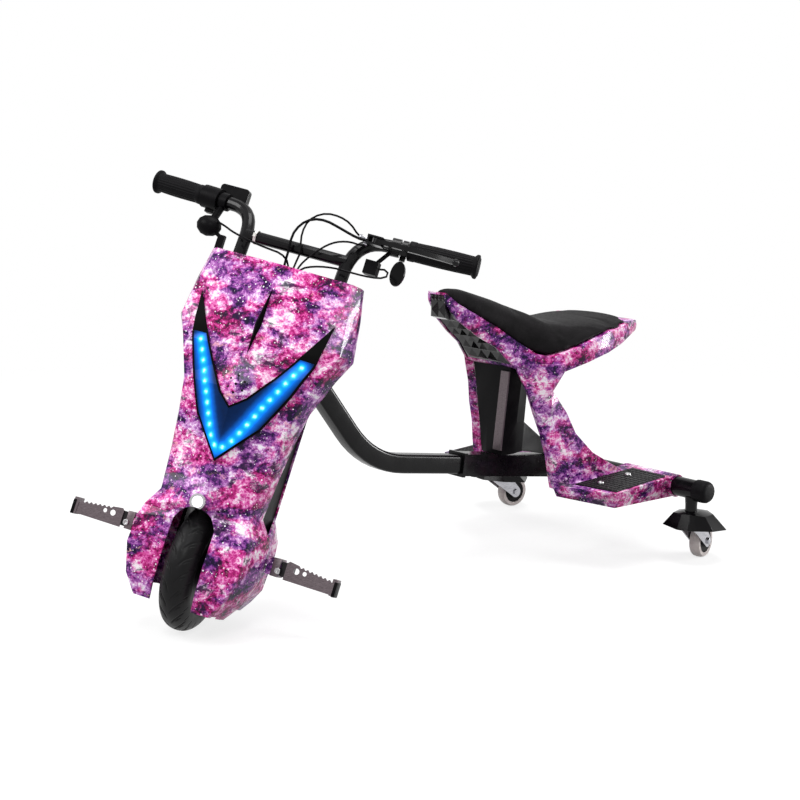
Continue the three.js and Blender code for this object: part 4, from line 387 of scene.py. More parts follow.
metals = {
    "steel": streaked_metal("grey_washed_steel_sheet", "#453c40", "#776c70", 5, 0.3, 0.46, 0.75),
    "chrome": streaked_metal("bright_chromed_steel", "#8f8f94", "#bdbdc2", 9, 0.08, 0.2, 1.0),
    "zinc": streaked_metal("bright_zinc_screws", "#9b9a9c", "#c4c3c4", 4, 0.22, 0.36, 1.0),
    "black_bolt": streaked_metal("black_oxide_fasteners", "#0e0d0f", "#1e1c1f", 4, 0.3, 0.45, 0.6),
}
finishes.update(metals)
print("metals", len(metals))

# %% [markdown]
# The other finishes are one recipe with different numbers: two shades, the size of the patches between
# them, the least and most roughness, and the size and depth of the raised grain, all in millimetres.
# The real blacks hardly mirror the white studio, so their specular level is kept low.

# %% The plain finishes by name
finishes.update({
    "moulded": cloudy(
        "black_textured_abs", "#050406", "#0d0c0e", 26, 0.34, 0.5, 1.1, 0.12,
        {"Specular IOR Level": 0.05}),
    "trim": cloudy(
        "black_satin_trim", "#030303", "#070707", 20, 0.4, 0.5, 1.0, 0.04, {"Specular IOR Level": 0.03}),
    "panel": cloudy(
        "black_gloss_panel", "#050405", "#0b0a0c", 30, 0.12, 0.2, 2.0, 0.03, {"Specular IOR Level": 0.4}),
    "gloss_plastic": cloudy(
        "black_gloss_abs", "#050406", "#0c0b0d", 40, 0.14, 0.24, 2.4, 0.03, {"Specular IOR Level": 0.12}),
    "painted": cloudy(
        "black_gloss_powder_coat", "#060507", "#0d0c0e", 30, 0.22, 0.34, 1.8, 0.06,
        {"Coat Weight": 0.22, "Coat Roughness": 0.1}),
    "tyre": cloudy(
        "black_tyre_rubber", "#060607", "#0f0e10", 18, 0.36, 0.5, 0.8, 0.1, {"Specular IOR Level": 0.16}),
    "grip": cloudy("soft_black_grip_rubber", "#080709", "#111012", 12, 0.45, 0.6, 0.7, 0.1),
    "pad": cloudy(
        "black_moulded_pad_rubber", "#0b0a0c", "#161417", 15, 0.4, 0.55, 0.9, 0.15,
        {"Specular IOR Level": 0.14}),
    "sheath": cloudy("black_pvc_cable_sheath", "#060507", "#0f0e10", 20, 0.3, 0.45, 1.0, 0.05),
    "urethane": cloudy(
        "white_cast_urethane", "#d9cdca", "#efe6e3", 14, 0.3, 0.45, 1.2, 0.06, {"Specular IOR Level": 0.3}),
    "nylon": cloudy("white_nylon_tie", "#d8d8d2", "#f0f0ea", 6, 0.35, 0.5, 0.8, 0.05),
    "hub": cloudy("black_nylon_hub", "#0a090b", "#161417", 9, 0.35, 0.5, 1.0, 0.1),
})
print("finishes", len(finishes))

# %% [markdown]
# The lights are on in the photograph. The headlamp is a bright white lens. The lens of the V is tinted
# blue, and the row of lamps under it shows as pale dots with a glow that fades into dark blue.

# %% Glowing finishes
LAMP_FACET_SIZE = 3.5
LENS_MOTTLE_SIZE = 6


def lamp_glass():
    """Frosted lens of the headlamp, brighter in the middle of its facets."""
    material, place = start("frosted_headlamp_lens")
    facets = add(material, "ShaderNodeTexVoronoi", {"Vector": place, "Scale": per(LAMP_FACET_SIZE)})
    glow = add(material, "ShaderNodeMapRange", {
        "Value": facets.outputs["Distance"], "To Min": 1.3, "To Max": 0.8})
    return close(material, {
        "Base Color": linear("#f4f6ff"), "Roughness": 0.15, "Emission Color": linear("#fbfcff"),
        "Emission Strength": glow.outputs["Result"]})


def blue_glass():
    """Blue polycarbonate over lamps: the glow attribute says how near the next lamp is."""
    material, place = start("blue_polycarbonate_lens")
    near = add(material, "ShaderNodeAttribute", attribute_name="glow")
    mottle = add(material, "ShaderNodeTexNoise", {
        "Vector": place, "Scale": per(LENS_MOTTLE_SIZE), "Detail": 3.0})
    shift = add(material, "ShaderNodeMath", {
        0: mottle.outputs["Fac"], 1: 0.06, 2: near.outputs["Fac"]}, operation="MULTIPLY_ADD")
    shade = add(material, "ShaderNodeValToRGB", {"Fac": shift.outputs["Value"]}, stops=[
        (0.03, "#02060f"), (0.22, "#05224f"), (0.45, "#0a56b4"), (0.68, "#0f8ff0"),
        (0.86, "#35c4ff"), (0.97, "#b8f2ff")])
    return close(material, {
        "Base Color": shade.outputs["Color"], "Roughness": 0.3, "Specular IOR Level": 0.06,
        "Emission Color": shade.outputs["Color"], "Emission Strength": 0.8})


finishes["lamp"] = lamp_glass()
finishes["lens"] = blue_glass()
print("finishes with the glowing ones", len(finishes))

# %% [markdown]
# The solids come with knife-sharp edges. Real mouldings have a small radius on every edge, which
# catches the light as a thin line. Four modifiers give it: a weld joins the loose triangles, a planar
# dissolve turns them into whole faces, a bevel rounds the edges that are sharp enough, and the last
# one shades smoothly across small angles.

# %% Rounded edges
FACET_ANGLE = math.radians(24)
WHOLE_FACE_ANGLE = math.radians(0.6)
WELD_DISTANCE = 0.02 * MM


def smooth_group():
    """Geometry nodes that weld the mesh and shade it smooth but for its sharp edges."""
    group = bpy.data.node_groups.new("weld_and_shade", "GeometryNodeTree")
    group.interface.new_socket("Geometry", in_out="INPUT", socket_type="NodeSocketGeometry")
    group.interface.new_socket("Geometry", in_out="OUTPUT", socket_type="NodeSocketGeometry")
    source = group.nodes.new("NodeGroupInput")
    merge = group.nodes.new("GeometryNodeMergeByDistance")
    merge.inputs["Distance"].default_value = WELD_DISTANCE
    smooth = group.nodes.new("GeometryNodeSetShadeSmooth")
    angle = group.nodes.new("GeometryNodeInputMeshEdgeAngle")
    sharp = group.nodes.new("ShaderNodeMath")
    sharp.operation = "GREATER_THAN"
    sharp.inputs[1].default_value = FACET_ANGLE
    crease = group.nodes.new("GeometryNodeSetShadeSmooth")
    crease.domain = "EDGE"
    crease.inputs["Shade Smooth"].default_value = False
    target = group.nodes.new("NodeGroupOutput")
    group.links.new(source.outputs[0], merge.inputs["Geometry"])
    group.links.new(merge.outputs["Geometry"], smooth.inputs["Geometry"])
    group.links.new(smooth.outputs["Geometry"], crease.inputs["Geometry"])
    group.links.new(angle.outputs["Unsigned Angle"], sharp.inputs[0])
    group.links.new(sharp.outputs[0], crease.inputs["Selection"])
    group.links.new(crease.outputs["Geometry"], target.inputs[0])
    return group


weld_and_shade = smooth_group()


def soften(name, radius, steps=2):
    """Rounds the edges of a node by a radius in millimetres, where there is one."""
    node = nodes[name]
    weld = node.modifiers.new("weld", "NODES")
    weld.node_group = weld_and_shade
    if radius:
        flat = node.modifiers.new("whole_faces", "DECIMATE")
        flat.decimate_type = "DISSOLVE"
        flat.angle_limit = WHOLE_FACE_ANGLE
        edge = node.modifiers.new("round_edges", "BEVEL")
        edge.limit_method = "ANGLE"
        edge.angle_limit = FACET_ANGLE
        edge.width = radius * MM
        edge.segments = steps
        edge.use_clamp_overlap = True
        edge.harden_normals = False
        shade = node.modifiers.new("shade", "NODES")
        shade.node_group = weld_and_shade


print("steps of weld and shade", len(weld_and_shade.nodes))

# %% [markdown]
# Each node now gets its finish and the radius that such a part has, in millimetres. Tubes and turned
# parts need no radius, and small parts get a small one. The seven nodes that the last line prints as
# missing are the ones that new pieces replace further on.

# %% Finish and edge radius of every node
dressing = {
    "print": {
        "fairing_front": 1.6, "fairing_tail": 1.6, "seat_shell": 1.4, "leg_cover_left": 1.5,
        "leg_cover_right": 1.5, "peg_bracket_left": 0.5, "peg_bracket_right": 0.5},
    "panel": {"pyramid_panel": 0.4},
    "moulded": {
        "seat_base": 0.6, "column_cover": 1.5, "rear_gusset": 1.0, "fairing_inner": 1.0,
        "throttle_housing": 0.8, "switch_pod": 0.0, "horn_box": 1.0},
    "gloss_plastic": {
        "caster_hood_left": 1.0, "caster_hood_right": 1.0, "display_case": 1.0, "bell_paddle": 0.8},
    "trim": {"centre_blade": 0.3, "light_trim": 0.25},
    "painted": {
        "rear_sleeve": 1.5, "cross_tube": 0.0, "main_tube": 0.0, "steerer_fork": 0.8, "handlebar": 0.0,
        "brake_perch": 0.5, "brake_lever": 0.6, "bell_clamp": 0.5},
    "grip": {"tube_cap_left": 0.0, "tube_cap_right": 0.0},
    "steel": {"column_strap": 0.4, "peg_blade_left": 0.3, "peg_blade_right": 0.3},
    "black_bolt": {"peg_block_left": 0.8, "peg_block_right": 0.8, "sleeve_bolt": 0.4, "front_hub": 0.5},
    "zinc": {"front_axle": 0.5, "lamp_ring": 0.4},
    "chrome": {"caster_fork_left": 0.4, "caster_fork_right": 0.4},
    "urethane": {"caster_tyre_left": 0.4, "caster_tyre_right": 0.4},
    "hub": {"caster_hub_left": 0.5, "caster_hub_right": 0.5},
    "nylon": {"zip_tie": 0.2},
    "sheath": {
        "cable_brake": 0.0, "cable_brake_switch": 0.0, "cable_lever": 0.0, "cable_throttle": 0.0,
        "cable_horn": 0.0},
    "lamp": {"lamp_lens": 0.4},
}


def dress(name, finish, radius):
    """Gives a node its material and its rounded edges."""
    node = nodes[name]
    node.data.materials.clear()
    node.data.materials.append(finishes[finish])
    soften(name, radius)


dressed = 0
for finish, members in dressing.items():
    for name, radius in members.items():
        dress(name, finish, radius)
        dressed += 1
print("dressed", dressed, "missing", sorted(set(nodes) - {n for m in dressing.values() for n in m}))

# %% [markdown]
# Some pieces need more form than the solids carry. Each of them starts as a bmesh, either from a
# welded copy of its solid or from a new profile, and then replaces that solid. It is parented to an
# empty named after the body it belongs to.

# %% Helpers for new pieces


def copy_of(name):
    """A welded bmesh copy of a node."""
    shape = bmesh.new()
    shape.from_mesh(nodes[name].data)
    bmesh.ops.remove_doubles(shape, verts=shape.verts, dist=WELD_DISTANCE)
    return shape


def show(name, shape, finish, body, smooth=True):
    """Turns a bmesh into a piece with a finish that rides on a body."""
    mesh = bpy.data.meshes.new(name)
    shape.to_mesh(mesh)
    shape.free()
    mesh.materials.append(finishes[finish])
    for polygon in mesh.polygons:
        polygon.use_smooth = smooth
    piece = bpy.data.objects.new(name, mesh)
    bpy.context.scene.collection.objects.link(piece)
    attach(piece, body)
    return piece


welded = copy_of("light_lens")
print("corners of the lens", len(nodes["light_lens"].data.vertices), "and welded", len(welded.verts))
welded.free()

# %% [markdown]
# The lens of the V is a clear blue moulding over two rows of small lamps. A real one would be lit by
# lamps behind it, but a painted glow is steadier in a picture and costs no light. The solid is cut
# into small squares by parallel planes, and each corner then gets a number that says how near the
# next lamp is. The finish turns that number into blue light.

# %% The lit lens
LAMP_ROW = [(0, 298), (14, 310), (30, 341), (46, 376), (64, 411), (80, 444), (88, 460)]
LAMPS_IN_AN_ARM = 11
LENS_SQUARE = 3.6
EDGE_GLOW = 0.09
ROW_GLOW = 0.52
ROW_GLOW_WIDTH = 13.0
LAMP_GLOW = 0.42
LAMP_GLOW_WIDTH = 4.6
CUT_TOLERANCE = 0.001 * MM


def row_lengths(row):
    """The length of each straight of a row of points."""
    return [math.dist(a, b) for a, b in zip(row, row[1:])]


def point_along(row, length):
    """The point at a length along a row of points."""
    for (a, b), straight in zip(zip(row, row[1:]), row_lengths(row)):
        if length <= straight:
            share = length / straight
            return a[0] + (b[0] - a[0]) * share, a[1] + (b[1] - a[1]) * share
        length -= straight
    return row[-1]


def distance_to_row(row, point):
    """The least distance from a point to a row of straights."""
    found = []
    for a, b in zip(row, row[1:]):
        side = (b[0] - a[0], b[1] - a[1])
        away = (point[0] - a[0], point[1] - a[1])
        share = (side[0] * away[0] + side[1] * away[1]) / (side[0] ** 2 + side[1] ** 2)
        share = min(1, max(0, share))
        found.append(math.dist(point, (a[0] + side[0] * share, a[1] + side[1] * share)))
    return min(found)


lamp_spacing = sum(row_lengths(LAMP_ROW)) / (LAMPS_IN_AN_ARM - 0.5)
lamp_places = [point_along(LAMP_ROW, lamp_spacing * (i + 0.5)) for i in range(LAMPS_IN_AN_ARM)]


def glow_at(across, along):
    """How bright the lens is: darkest by its edges, brighter along the row, white over a lamp."""
    point = (abs(across), along)
    row = distance_to_row(LAMP_ROW, point)
    lamp = min(math.dist(point, place) for place in lamp_places)
    by_row = ROW_GLOW * math.exp(-(row / ROW_GLOW_WIDTH) ** 2)
    by_lamp = LAMP_GLOW * math.exp(-(lamp / LAMP_GLOW_WIDTH) ** 2)
    return EDGE_GLOW + by_row + by_lamp


def lit_lens():
    """The lens cut into small squares that carry their glow."""
    shape = copy_of("light_lens")
    places = [front_place(v.co) for v in shape.verts]
    for axis, which in ((axis_out, 0), (axis_up, 2)):
        low = min(p[which] for p in places)
        high = max(p[which] for p in places)
        for step in range(1, int((high - low) / LENS_SQUARE) + 1):
            cut = at(0, 0, 0) + axis * (low + step * LENS_SQUARE) * MM
            parts = shape.verts[:] + shape.edges[:] + shape.faces[:]
            bmesh.ops.bisect_plane(shape, geom=parts, dist=CUT_TOLERANCE, plane_co=cut, plane_no=axis)
    glow = shape.verts.layers.float.new("glow")
    for v in shape.verts:
        across, _, along = front_place(v.co)
        v[glow] = glow_at(across, along)
    piece = show("lit_lens", shape, "lens", "steered_front", smooth=False)
    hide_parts("light_lens")
    return piece


lens = lit_lens()
print("lens faces", len(lens.data.polygons), "lamps", 2 * len(lamp_places))
print("lamp spacing mm", round(lamp_spacing, 1))

# %% [markdown]
# The tyre is moulded rubber with a round tread. Its grooves sweep back from the middle like the veins
# of a leaf, alternately left and right. The profile is spun into a fine ring, and every corner of the
# tread then sinks by the depth of the groove that passes there, if one does.

# %% The tyre with its grooves
hub_middle = Vector(joints["front_wheel_spin"]["pos_m"])
TREAD_STEPS = 600
TREAD_POINTS = 64
TREAD_DROP = 30 * MM
TREAD_ROUNDNESS = 2.2
BEAD_HALF_SHARE = 0.86
BEAD_SEAT_SHARE = 0.9
BEAD_HEIGHT = 1.5 * MM
GROOVES = 24
GROOVE_DEPTH = 2.4 * MM
GROOVED_DROP_SHARE = 0.8
# Each kind of groove: the shares of the half width where it starts and ends, how far it sweeps round
# in millimetres, how much of the pitch it lags behind, and half its width in millimetres
GROOVE_KINDS = (
    (0.06, 0.86, 34, 0.0, 1.7),
    (0.40, 0.70, 9, 0.52, 1.3),
    (0.80, 0.97, 4, 0.3, 1.2))
CROWN_STRETCH = 1.5
STEEPEST_GROOVE = 4.0
TAPER_IN = 6
TAPER_OUT = 8


def wheel_sizes(name):
    """Outer radius, inner radius and half width of a wheel part round the front axle."""
    radii = []
    sides = []
    for v in nodes[name].data.vertices:
        away = v.co - hub_middle
        side = away.dot(axis_out)
        sides.append(abs(side))
        radii.append((away - axis_out * side).length)
    return max(radii), min(radii), max(sides)


tyre_radius, rim_radius, tyre_half = wheel_sizes("front_tyre")


def tyre_profile():
    """Side and radius of the points round the tyre's section, from bead to bead over the tread."""
    points = []
    for step in range(TREAD_POINTS + 1):
        angle = math.pi * (step / TREAD_POINTS - 0.5)
        side = math.copysign(abs(math.sin(angle)) ** (2 / TREAD_ROUNDNESS), math.sin(angle))
        rise = abs(math.cos(angle)) ** (2 / TREAD_ROUNDNESS)
        points.append((side * tyre_half, tyre_radius - TREAD_DROP + TREAD_DROP * rise))
    bead = tyre_half * BEAD_HALF_SHARE
    seat = bead * BEAD_SEAT_SHARE
    return points + [
        (bead, rim_radius + BEAD_HEIGHT), (seat, rim_radius), (-seat, rim_radius),
        (-bead, rim_radius + BEAD_HEIGHT)]


def groove_share(offset, half_width):
    """1 in the middle of a groove, 0 outside it, smooth between."""
    near = max(0.0, 1 - abs(offset) / half_width)
    return near * near * (3 - 2 * near)


def groove_depth(side, turn):
    """How deep the tread is cut at a share of the half width and an angle round the axle."""
    pitch = math.tau * tyre_radius / MM / GROOVES
    out = abs(side)
    travel = turn * tyre_radius / MM + (pitch / 2 if side > 0 else 0)
    deepest = 0.0
    for first, last, rise, lag, half_width in GROOVE_KINDS:
        share = (out - first) / (last - first)
        if not 0 < share < 1:
            continue
        across_length = (last - first) * tyre_half / MM * CROWN_STRETCH
        slope = min(STEEPEST_GROOVE, 0.5 * rise / (math.sqrt(share) * across_length))
        miss = (travel - rise * math.sqrt(share) - lag * pitch + pitch / 2) % pitch - pitch / 2
        taper = min(1.0, TAPER_IN * share, TAPER_OUT * (1 - share))
        cut = groove_share(miss / math.hypot(1, slope), half_width * (0.5 + 0.5 * taper))
        deepest = max(deepest, cut * taper)
    return deepest * GROOVE_DEPTH


def grooved_tyre():
    """Spins the profile and sinks the grooves."""
    shape = bmesh.new()
    ring = [
        shape.verts.new(hub_middle + axis_out * side + axis_up * radius)
        for side, radius in tyre_profile()]
    loop = [shape.edges.new((a, b)) for a, b in zip(ring, ring[1:] + ring[:1])]
    bmesh.ops.spin(
        shape, geom=ring + loop, cent=hub_middle, axis=axis_out, angle=math.tau, steps=TREAD_STEPS,
        use_merge=True)
    bmesh.ops.recalc_face_normals(shape, faces=shape.faces)
    for v in shape.verts:
        away = v.co - hub_middle
        side = away.dot(axis_out)
        spoke = away - axis_out * side
        if spoke.length > tyre_radius - GROOVED_DROP_SHARE * TREAD_DROP:
            turn = math.atan2(spoke.dot(axis_up), spoke.dot(axis_forward))
            v.co -= spoke.normalized() * groove_depth(side / tyre_half, turn)
    piece = show("front_tyre_tread", shape, "tyre", "front_wheel")
    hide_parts("front_tyre")
    return piece


tyre = grooved_tyre()
print("tyre radius mm", round(tyre_radius / MM, 1), "faces", len(tyre.data.polygons))

# %% [markdown]
# The saddle is foam under black leathercloth, drawn tight over the shell. Foam swells a little between
# its edges, which a solid doesn't show. A cloth simulation with air pressure gives that swelling: the
# welded solid is cut into even squares, shrunk a little, blown up, and kept inside its own solid so
# that it never meets the shell. The faces that look down are held still.

# %% The cushion
CUSHION_SQUARE = 5 * MM
CUSHION_SHRINK = 0.8 * MM
CUSHION_MOST_SWELL = 5 * MM
CUSHION_FRAMES = 20
CUSHION_PRESSURE = 4.0
HELD_SLOPE = -0.2


def applied(piece):
    """Bakes the modifiers of a piece into its mesh."""
    graph = bpy.context.evaluated_depsgraph_get()
    baked = bpy.data.meshes.new_from_object(piece.evaluated_get(graph))
    piece.modifiers.clear()
    piece.data = baked


def blow_up(piece):
    """Swells a piece with air pressure while its held corners stay."""
    cloth = piece.modifiers.new("cloth", "CLOTH")
    cloth.settings.vertex_group_mass = "held"
    cloth.settings.use_pressure = True
    cloth.settings.uniform_pressure_force = CUSHION_PRESSURE
    cloth.settings.effector_weights.gravity = 0.0
    for frame_number in range(1, CUSHION_FRAMES + 1):
        bpy.context.scene.frame_set(frame_number)
    applied(piece)
    bpy.context.scene.frame_set(1)


def keep_inside(piece, shrunk, limit):
    """Moves back every corner that swelled too far or left the solid."""
    for v, spot in zip(piece.data.vertices, shrunk):
        move = v.co - spot
        if move.length > CUSHION_MOST_SWELL:
            v.co = spot + move.normalized() * CUSHION_MOST_SWELL
        wall, normal, _, _ = limit.find_nearest(v.co)
        if (v.co - wall).dot(normal) > 0:
            v.co = wall


def blown_cushion():
    """Remeshes, shrinks and blows up the cushion, inside its solid."""
    shape = copy_of("seat_cushion")
    limit = BVHTree.FromBMesh(shape)
    piece = show("seat_pad", shape, "leather", "frame")
    squares = piece.modifiers.new("even_squares", "REMESH")
    squares.mode = "VOXEL"
    squares.voxel_size = CUSHION_SQUARE
    applied(piece)
    shrunk = [v.co - v.normal * CUSHION_SHRINK for v in piece.data.vertices]
    for v, spot in zip(piece.data.vertices, shrunk):
        v.co = spot
    held = piece.vertex_groups.new(name="held")
    held.add([v.index for v in piece.data.vertices if v.normal.z < HELD_SLOPE], 1.0, "REPLACE")
    blow_up(piece)
    keep_inside(piece, shrunk, limit)
    for polygon in piece.data.polygons:
        polygon.use_smooth = True
    even = piece.modifiers.new("even_foam", "SMOOTH")
    even.factor = 0.5
    even.iterations = 4
    applied(piece)
    fine = piece.modifiers.new("fine", "SUBSURF")
    fine.levels = 1
    fine.render_levels = 1
    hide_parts("seat_cushion")
    return piece


cushion = blown_cushion()
print("cushion squares", len(cushion.data.polygons))

# %% [markdown]
# The grips are soft rubber sleeves with straight flutes for the palm, a plain collar at the inner end
# and a flange at the outer end. A profile is spun round the line of the bar and its flutes are then
# pressed in by a sine round the bar. Places are shares of the grip's length, from its inner end.

# %% The grips
GRIP_FLUTES = 22
FLUTE_DEPTH = 0.9 * MM
GRIP_STEPS = 176
PALM_STATIONS = 40
SLEEVE_SHARE = 0.80
PALM_START = 0.10
PALM_LENGTH = 0.81
FLUTES_END = 0.92
FLUTE_EASE = 0.03
PALM_SWELL = 0.05
# Shares of the length and of the sleeve's radius, and then of the length and of the flange's radius
COLLAR = ((0.0, 0.98), (0.012, 1.04), (0.09, 1.04), (PALM_START, 1.0))
FLANGE = ((0.93, 0.93), (0.945, 1.0), (0.975, 1.0), (0.985, 0.93))


def straight_of(name, line):
    """The middle line, ends and the radii of a round node about a direction."""
    spots = [v.co for v in nodes[name].data.vertices]
    heights = [spot.dot(line) for spot in spots]
    low, high = min(heights), max(heights)
    flat = [spot - line * height for spot, height in zip(spots, heights)]
    centre = sum(flat, Vector()) / len(flat)
    radii = [(spot - centre).length for spot in flat]
    return centre, low, high, max(radii), min(radii)


def grip_stations(flange, bore):
    """Share of the length and radius of each corner of a grip's profile, from bore to bore."""
    sleeve = flange * SLEEVE_SHARE
    stations = [(0.0, bore)]
    stations += [(share, sleeve * size) for share, size in COLLAR]
    stations += [
        (PALM_START + PALM_LENGTH * step / PALM_STATIONS, sleeve) for step in range(1, PALM_STATIONS + 1)]
    stations += [(share, flange * size) for share, size in FLANGE]
    return stations + [(0.99, sleeve), (1.0, sleeve * 0.9), (1.0, bore)]


def fluted_grip(node, name, line, body):
    """A fluted sleeve in the place of a grip, with its flange at the outer end."""
    centre, low, high, flange, bore = straight_of(node, line)
    aside = line.orthogonal().normalized()
    shape = bmesh.new()
    ring = [
        shape.verts.new(centre + line * (low + (high - low) * share) + aside * radius)
        for share, radius in grip_stations(flange, bore)]
    loop = [shape.edges.new((a, b)) for a, b in zip(ring, ring[1:] + ring[:1])]
    bmesh.ops.spin(
        shape, geom=ring + loop, cent=centre, axis=line, angle=math.tau, steps=GRIP_STEPS,
        use_merge=True)
    bmesh.ops.recalc_face_normals(shape, faces=shape.faces)
    over = line.cross(aside)
    for v in shape.verts:
        share = (v.co.dot(line) - low) / (high - low)
        spoke = v.co - line * v.co.dot(line) - centre
        if not PALM_START < share < FLUTES_END or spoke.length < bore * 1.1:
            continue
        turn = math.atan2(spoke.dot(over), spoke.dot(aside))
        ease = min(1, (share - PALM_START) / FLUTE_EASE, (FLUTES_END - share) / FLUTE_EASE)
        palm = PALM_SWELL * math.sin(math.pi * (share - PALM_START) / (FLUTES_END - PALM_START))
        flute = abs(math.sin(turn * GRIP_FLUTES / 2)) ** 0.5
        v.co += spoke * palm - spoke.normalized() * FLUTE_DEPTH * ease * (1 - flute)
    piece = show(name, shape, "grip", body)
    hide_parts(node)
    return piece


twist_line = Vector(joints["throttle_twist"]["axis"]).normalized()
if twist_line.dot(axis_out) > 0:
    twist_line = -twist_line
mirror_line = twist_line - 2 * axis_out * twist_line.dot(axis_out)
right_line, left_line = twist_line, mirror_line
grips = []
for node, body in (("grip_left", "steered_front"), ("grip_throttle", "twist_grip")):
    line = left_line if front_place(middle_of(node))[0] > 0 else right_line
    grips.append(fluted_grip(node, node + "_fluted", line, body))
print("grip faces", [len(grip.data.polygons) for grip in grips])

# %% [markdown]
# The foot pads are moulded rubber with raised squares, held by two bright screws each. The solid is
# cut along a grid, and the squares on its top are then inset and lifted.

# %% Foot pads
PAD_SQUARE = 10.5 * MM
PAD_LIFT = 0.9 * MM
PAD_GAP = 1.2 * MM
PAD_SLOPE = 0.8 * MM
SLANT_LEAST = 0.2 * MM
FACING_UP = 0.9


def is_slanted_seam(edge, top):
    """Whether an edge runs slantwise across the top, as the seams of the loose triangles do."""
    run = edge.verts[0].co - edge.verts[1].co
    slanted = abs(run.x) > SLANT_LEAST and abs(run.y) > SLANT_LEAST
    return slanted and len(edge.link_faces) == 2 and all(face in top for face in edge.link_faces)


def studded_pad(node, name):
    """A pad whose top is cut into raised squares."""
    shape = copy_of(node)
    low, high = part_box(node)
    for axis in (Vector((1, 0, 0)), Vector((0, 1, 0))):
        start_at, end_at = low.dot(axis), high.dot(axis)
        count = round((end_at - start_at) / PAD_SQUARE)
        for step in range(1, count):
            cut = axis * (start_at + (end_at - start_at) * step / count)
            parts = shape.verts[:] + shape.edges[:] + shape.faces[:]
            bmesh.ops.bisect_plane(shape, geom=parts, dist=CUT_TOLERANCE, plane_co=cut, plane_no=axis)
    shape.normal_update()
    top = [face for face in shape.faces if face.normal.z > FACING_UP]
    seams = [edge for edge in shape.edges if is_slanted_seam(edge, top)]
    bmesh.ops.dissolve_limit(shape, angle_limit=math.radians(0.5), verts=[], edges=seams)
    least_area = (PAD_SQUARE * 0.4) ** 2
    top = [face for face in shape.faces if face.normal.z > FACING_UP and face.calc_area() > least_area]
    bmesh.ops.inset_individual(shape, faces=top, thickness=PAD_GAP, depth=0.0)
    bmesh.ops.inset_individual(shape, faces=top, thickness=PAD_SLOPE, depth=PAD_LIFT)
    piece = show(name, shape, "pad", "frame", smooth=False)
    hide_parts(node)
    return piece


pads = [studded_pad("foot_pad_" + side, "foot_pad_" + side + "_studded") for side, _ in SIDES]
print("pad faces", [len(pad.data.polygons) for pad in pads])

# %% [markdown]
# Screws and bolts hold the pads and the pegs. One function makes a pan head with a socket: a short
# cone is capped, its top is inset and sunk, and its edges are bevelled.

# %% Screws and bolts
HEAD_STEPS = 24
HEAD_TAPER = 0.82
SOCKET_RIM_SHARE = 0.38
SOCKET_SLOPE_SHARE = 0.04
SOCKET_DEPTH_SHARE = 0.5
EDGE_SHARE = 0.08
SHARP_RIM = math.radians(50)
SEATED_SHARE = 0.45


def bolt(name, place, axis, radius, height, finish, body):
    """A pan head whose foot stands on a place and whose socket looks along an axis."""
    shape = bmesh.new()
    bmesh.ops.create_cone(
        shape, cap_ends=True, segments=HEAD_STEPS, radius1=radius, radius2=radius * HEAD_TAPER,
        depth=height)
    top = [face for face in shape.faces if face.normal.z > FACING_UP]
    bmesh.ops.inset_region(shape, faces=top, thickness=radius * SOCKET_RIM_SHARE, depth=0.0)
    bmesh.ops.inset_region(
        shape, faces=top, thickness=radius * SOCKET_SLOPE_SHARE, depth=-height * SOCKET_DEPTH_SHARE)
    rim = [edge for edge in shape.edges if edge.calc_face_angle(0) > SHARP_RIM]
    bmesh.ops.bevel(
        shape, geom=rim, offset=radius * EDGE_SHARE, affect="EDGES", segments=2, profile=0.5, material=-1)
    turn = axis.to_track_quat("Z", "Y").to_matrix().to_4x4()
    seat = Matrix.Translation(place + axis * height * SEATED_SHARE) @ turn
    bmesh.ops.transform(shape, matrix=seat, verts=shape.verts)
    return show(name, shape, finish, body)


def front_spot(node, which, highest=True):
    """The lowest or highest across, forward or along of a node on the steered front."""
    values = [front_place(v.co)[which] for v in nodes[node].data.vertices]
    return max(values) if highest else min(values)


PAD_SCREW_SHARES = (0.22, 0.72)
PAD_SCREW_ACROSS_SHARE = 0.36
PAD_RISE_SHARE = 0.82
PAD_SCREW_RADIUS = 6.2 * MM
PAD_SCREW_HEIGHT = 2.6 * MM
ARM_BOLT_ACROSS = 109
ARM_BOLT_FORWARD = 14
ARM_BOLT_ALONG = 143
ARM_BOLT_RADIUS = 6.5 * MM
ARM_BOLT_HEIGHT = 4 * MM
HINGE_BOLT_ACROSS = 134
HINGE_BOLT_LIFT = 0.9
HINGE_BOLT_ALONG = 143.5
HINGE_BOLT_RADIUS = 5.6 * MM
HINGE_BOLT_HEIGHT = 3.4 * MM


def pad_screws(side, sign):
    """The two screws of a foot pad, stood on its lifted squares."""
    low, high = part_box("foot_pad_" + side)
    inner_x = low.x if sign > 0 else high.x
    x = inner_x + sign * (high.x - low.x) * PAD_SCREW_ACROSS_SHARE
    normal = Vector((0, -(high.z - low.z) * PAD_RISE_SHARE, high.y - low.y)).normalized()
    pad_top = BVHTree.FromBMesh(copy_of("foot_pad_" + side))
    screws = []
    for number, share in enumerate(PAD_SCREW_SHARES):
        y = low.y + (high.y - low.y) * share
        hits = pad_top.ray_cast(Vector((x, y, 1)), Vector((0, 0, -1)))
        place = hits[0] + Vector((0, 0, PAD_LIFT))
        name = "pad_screw_" + side + "_" + str(number + 1)
        screws.append(bolt(name, place, normal, PAD_SCREW_RADIUS, PAD_SCREW_HEIGHT, "zinc", "frame"))
    return screws


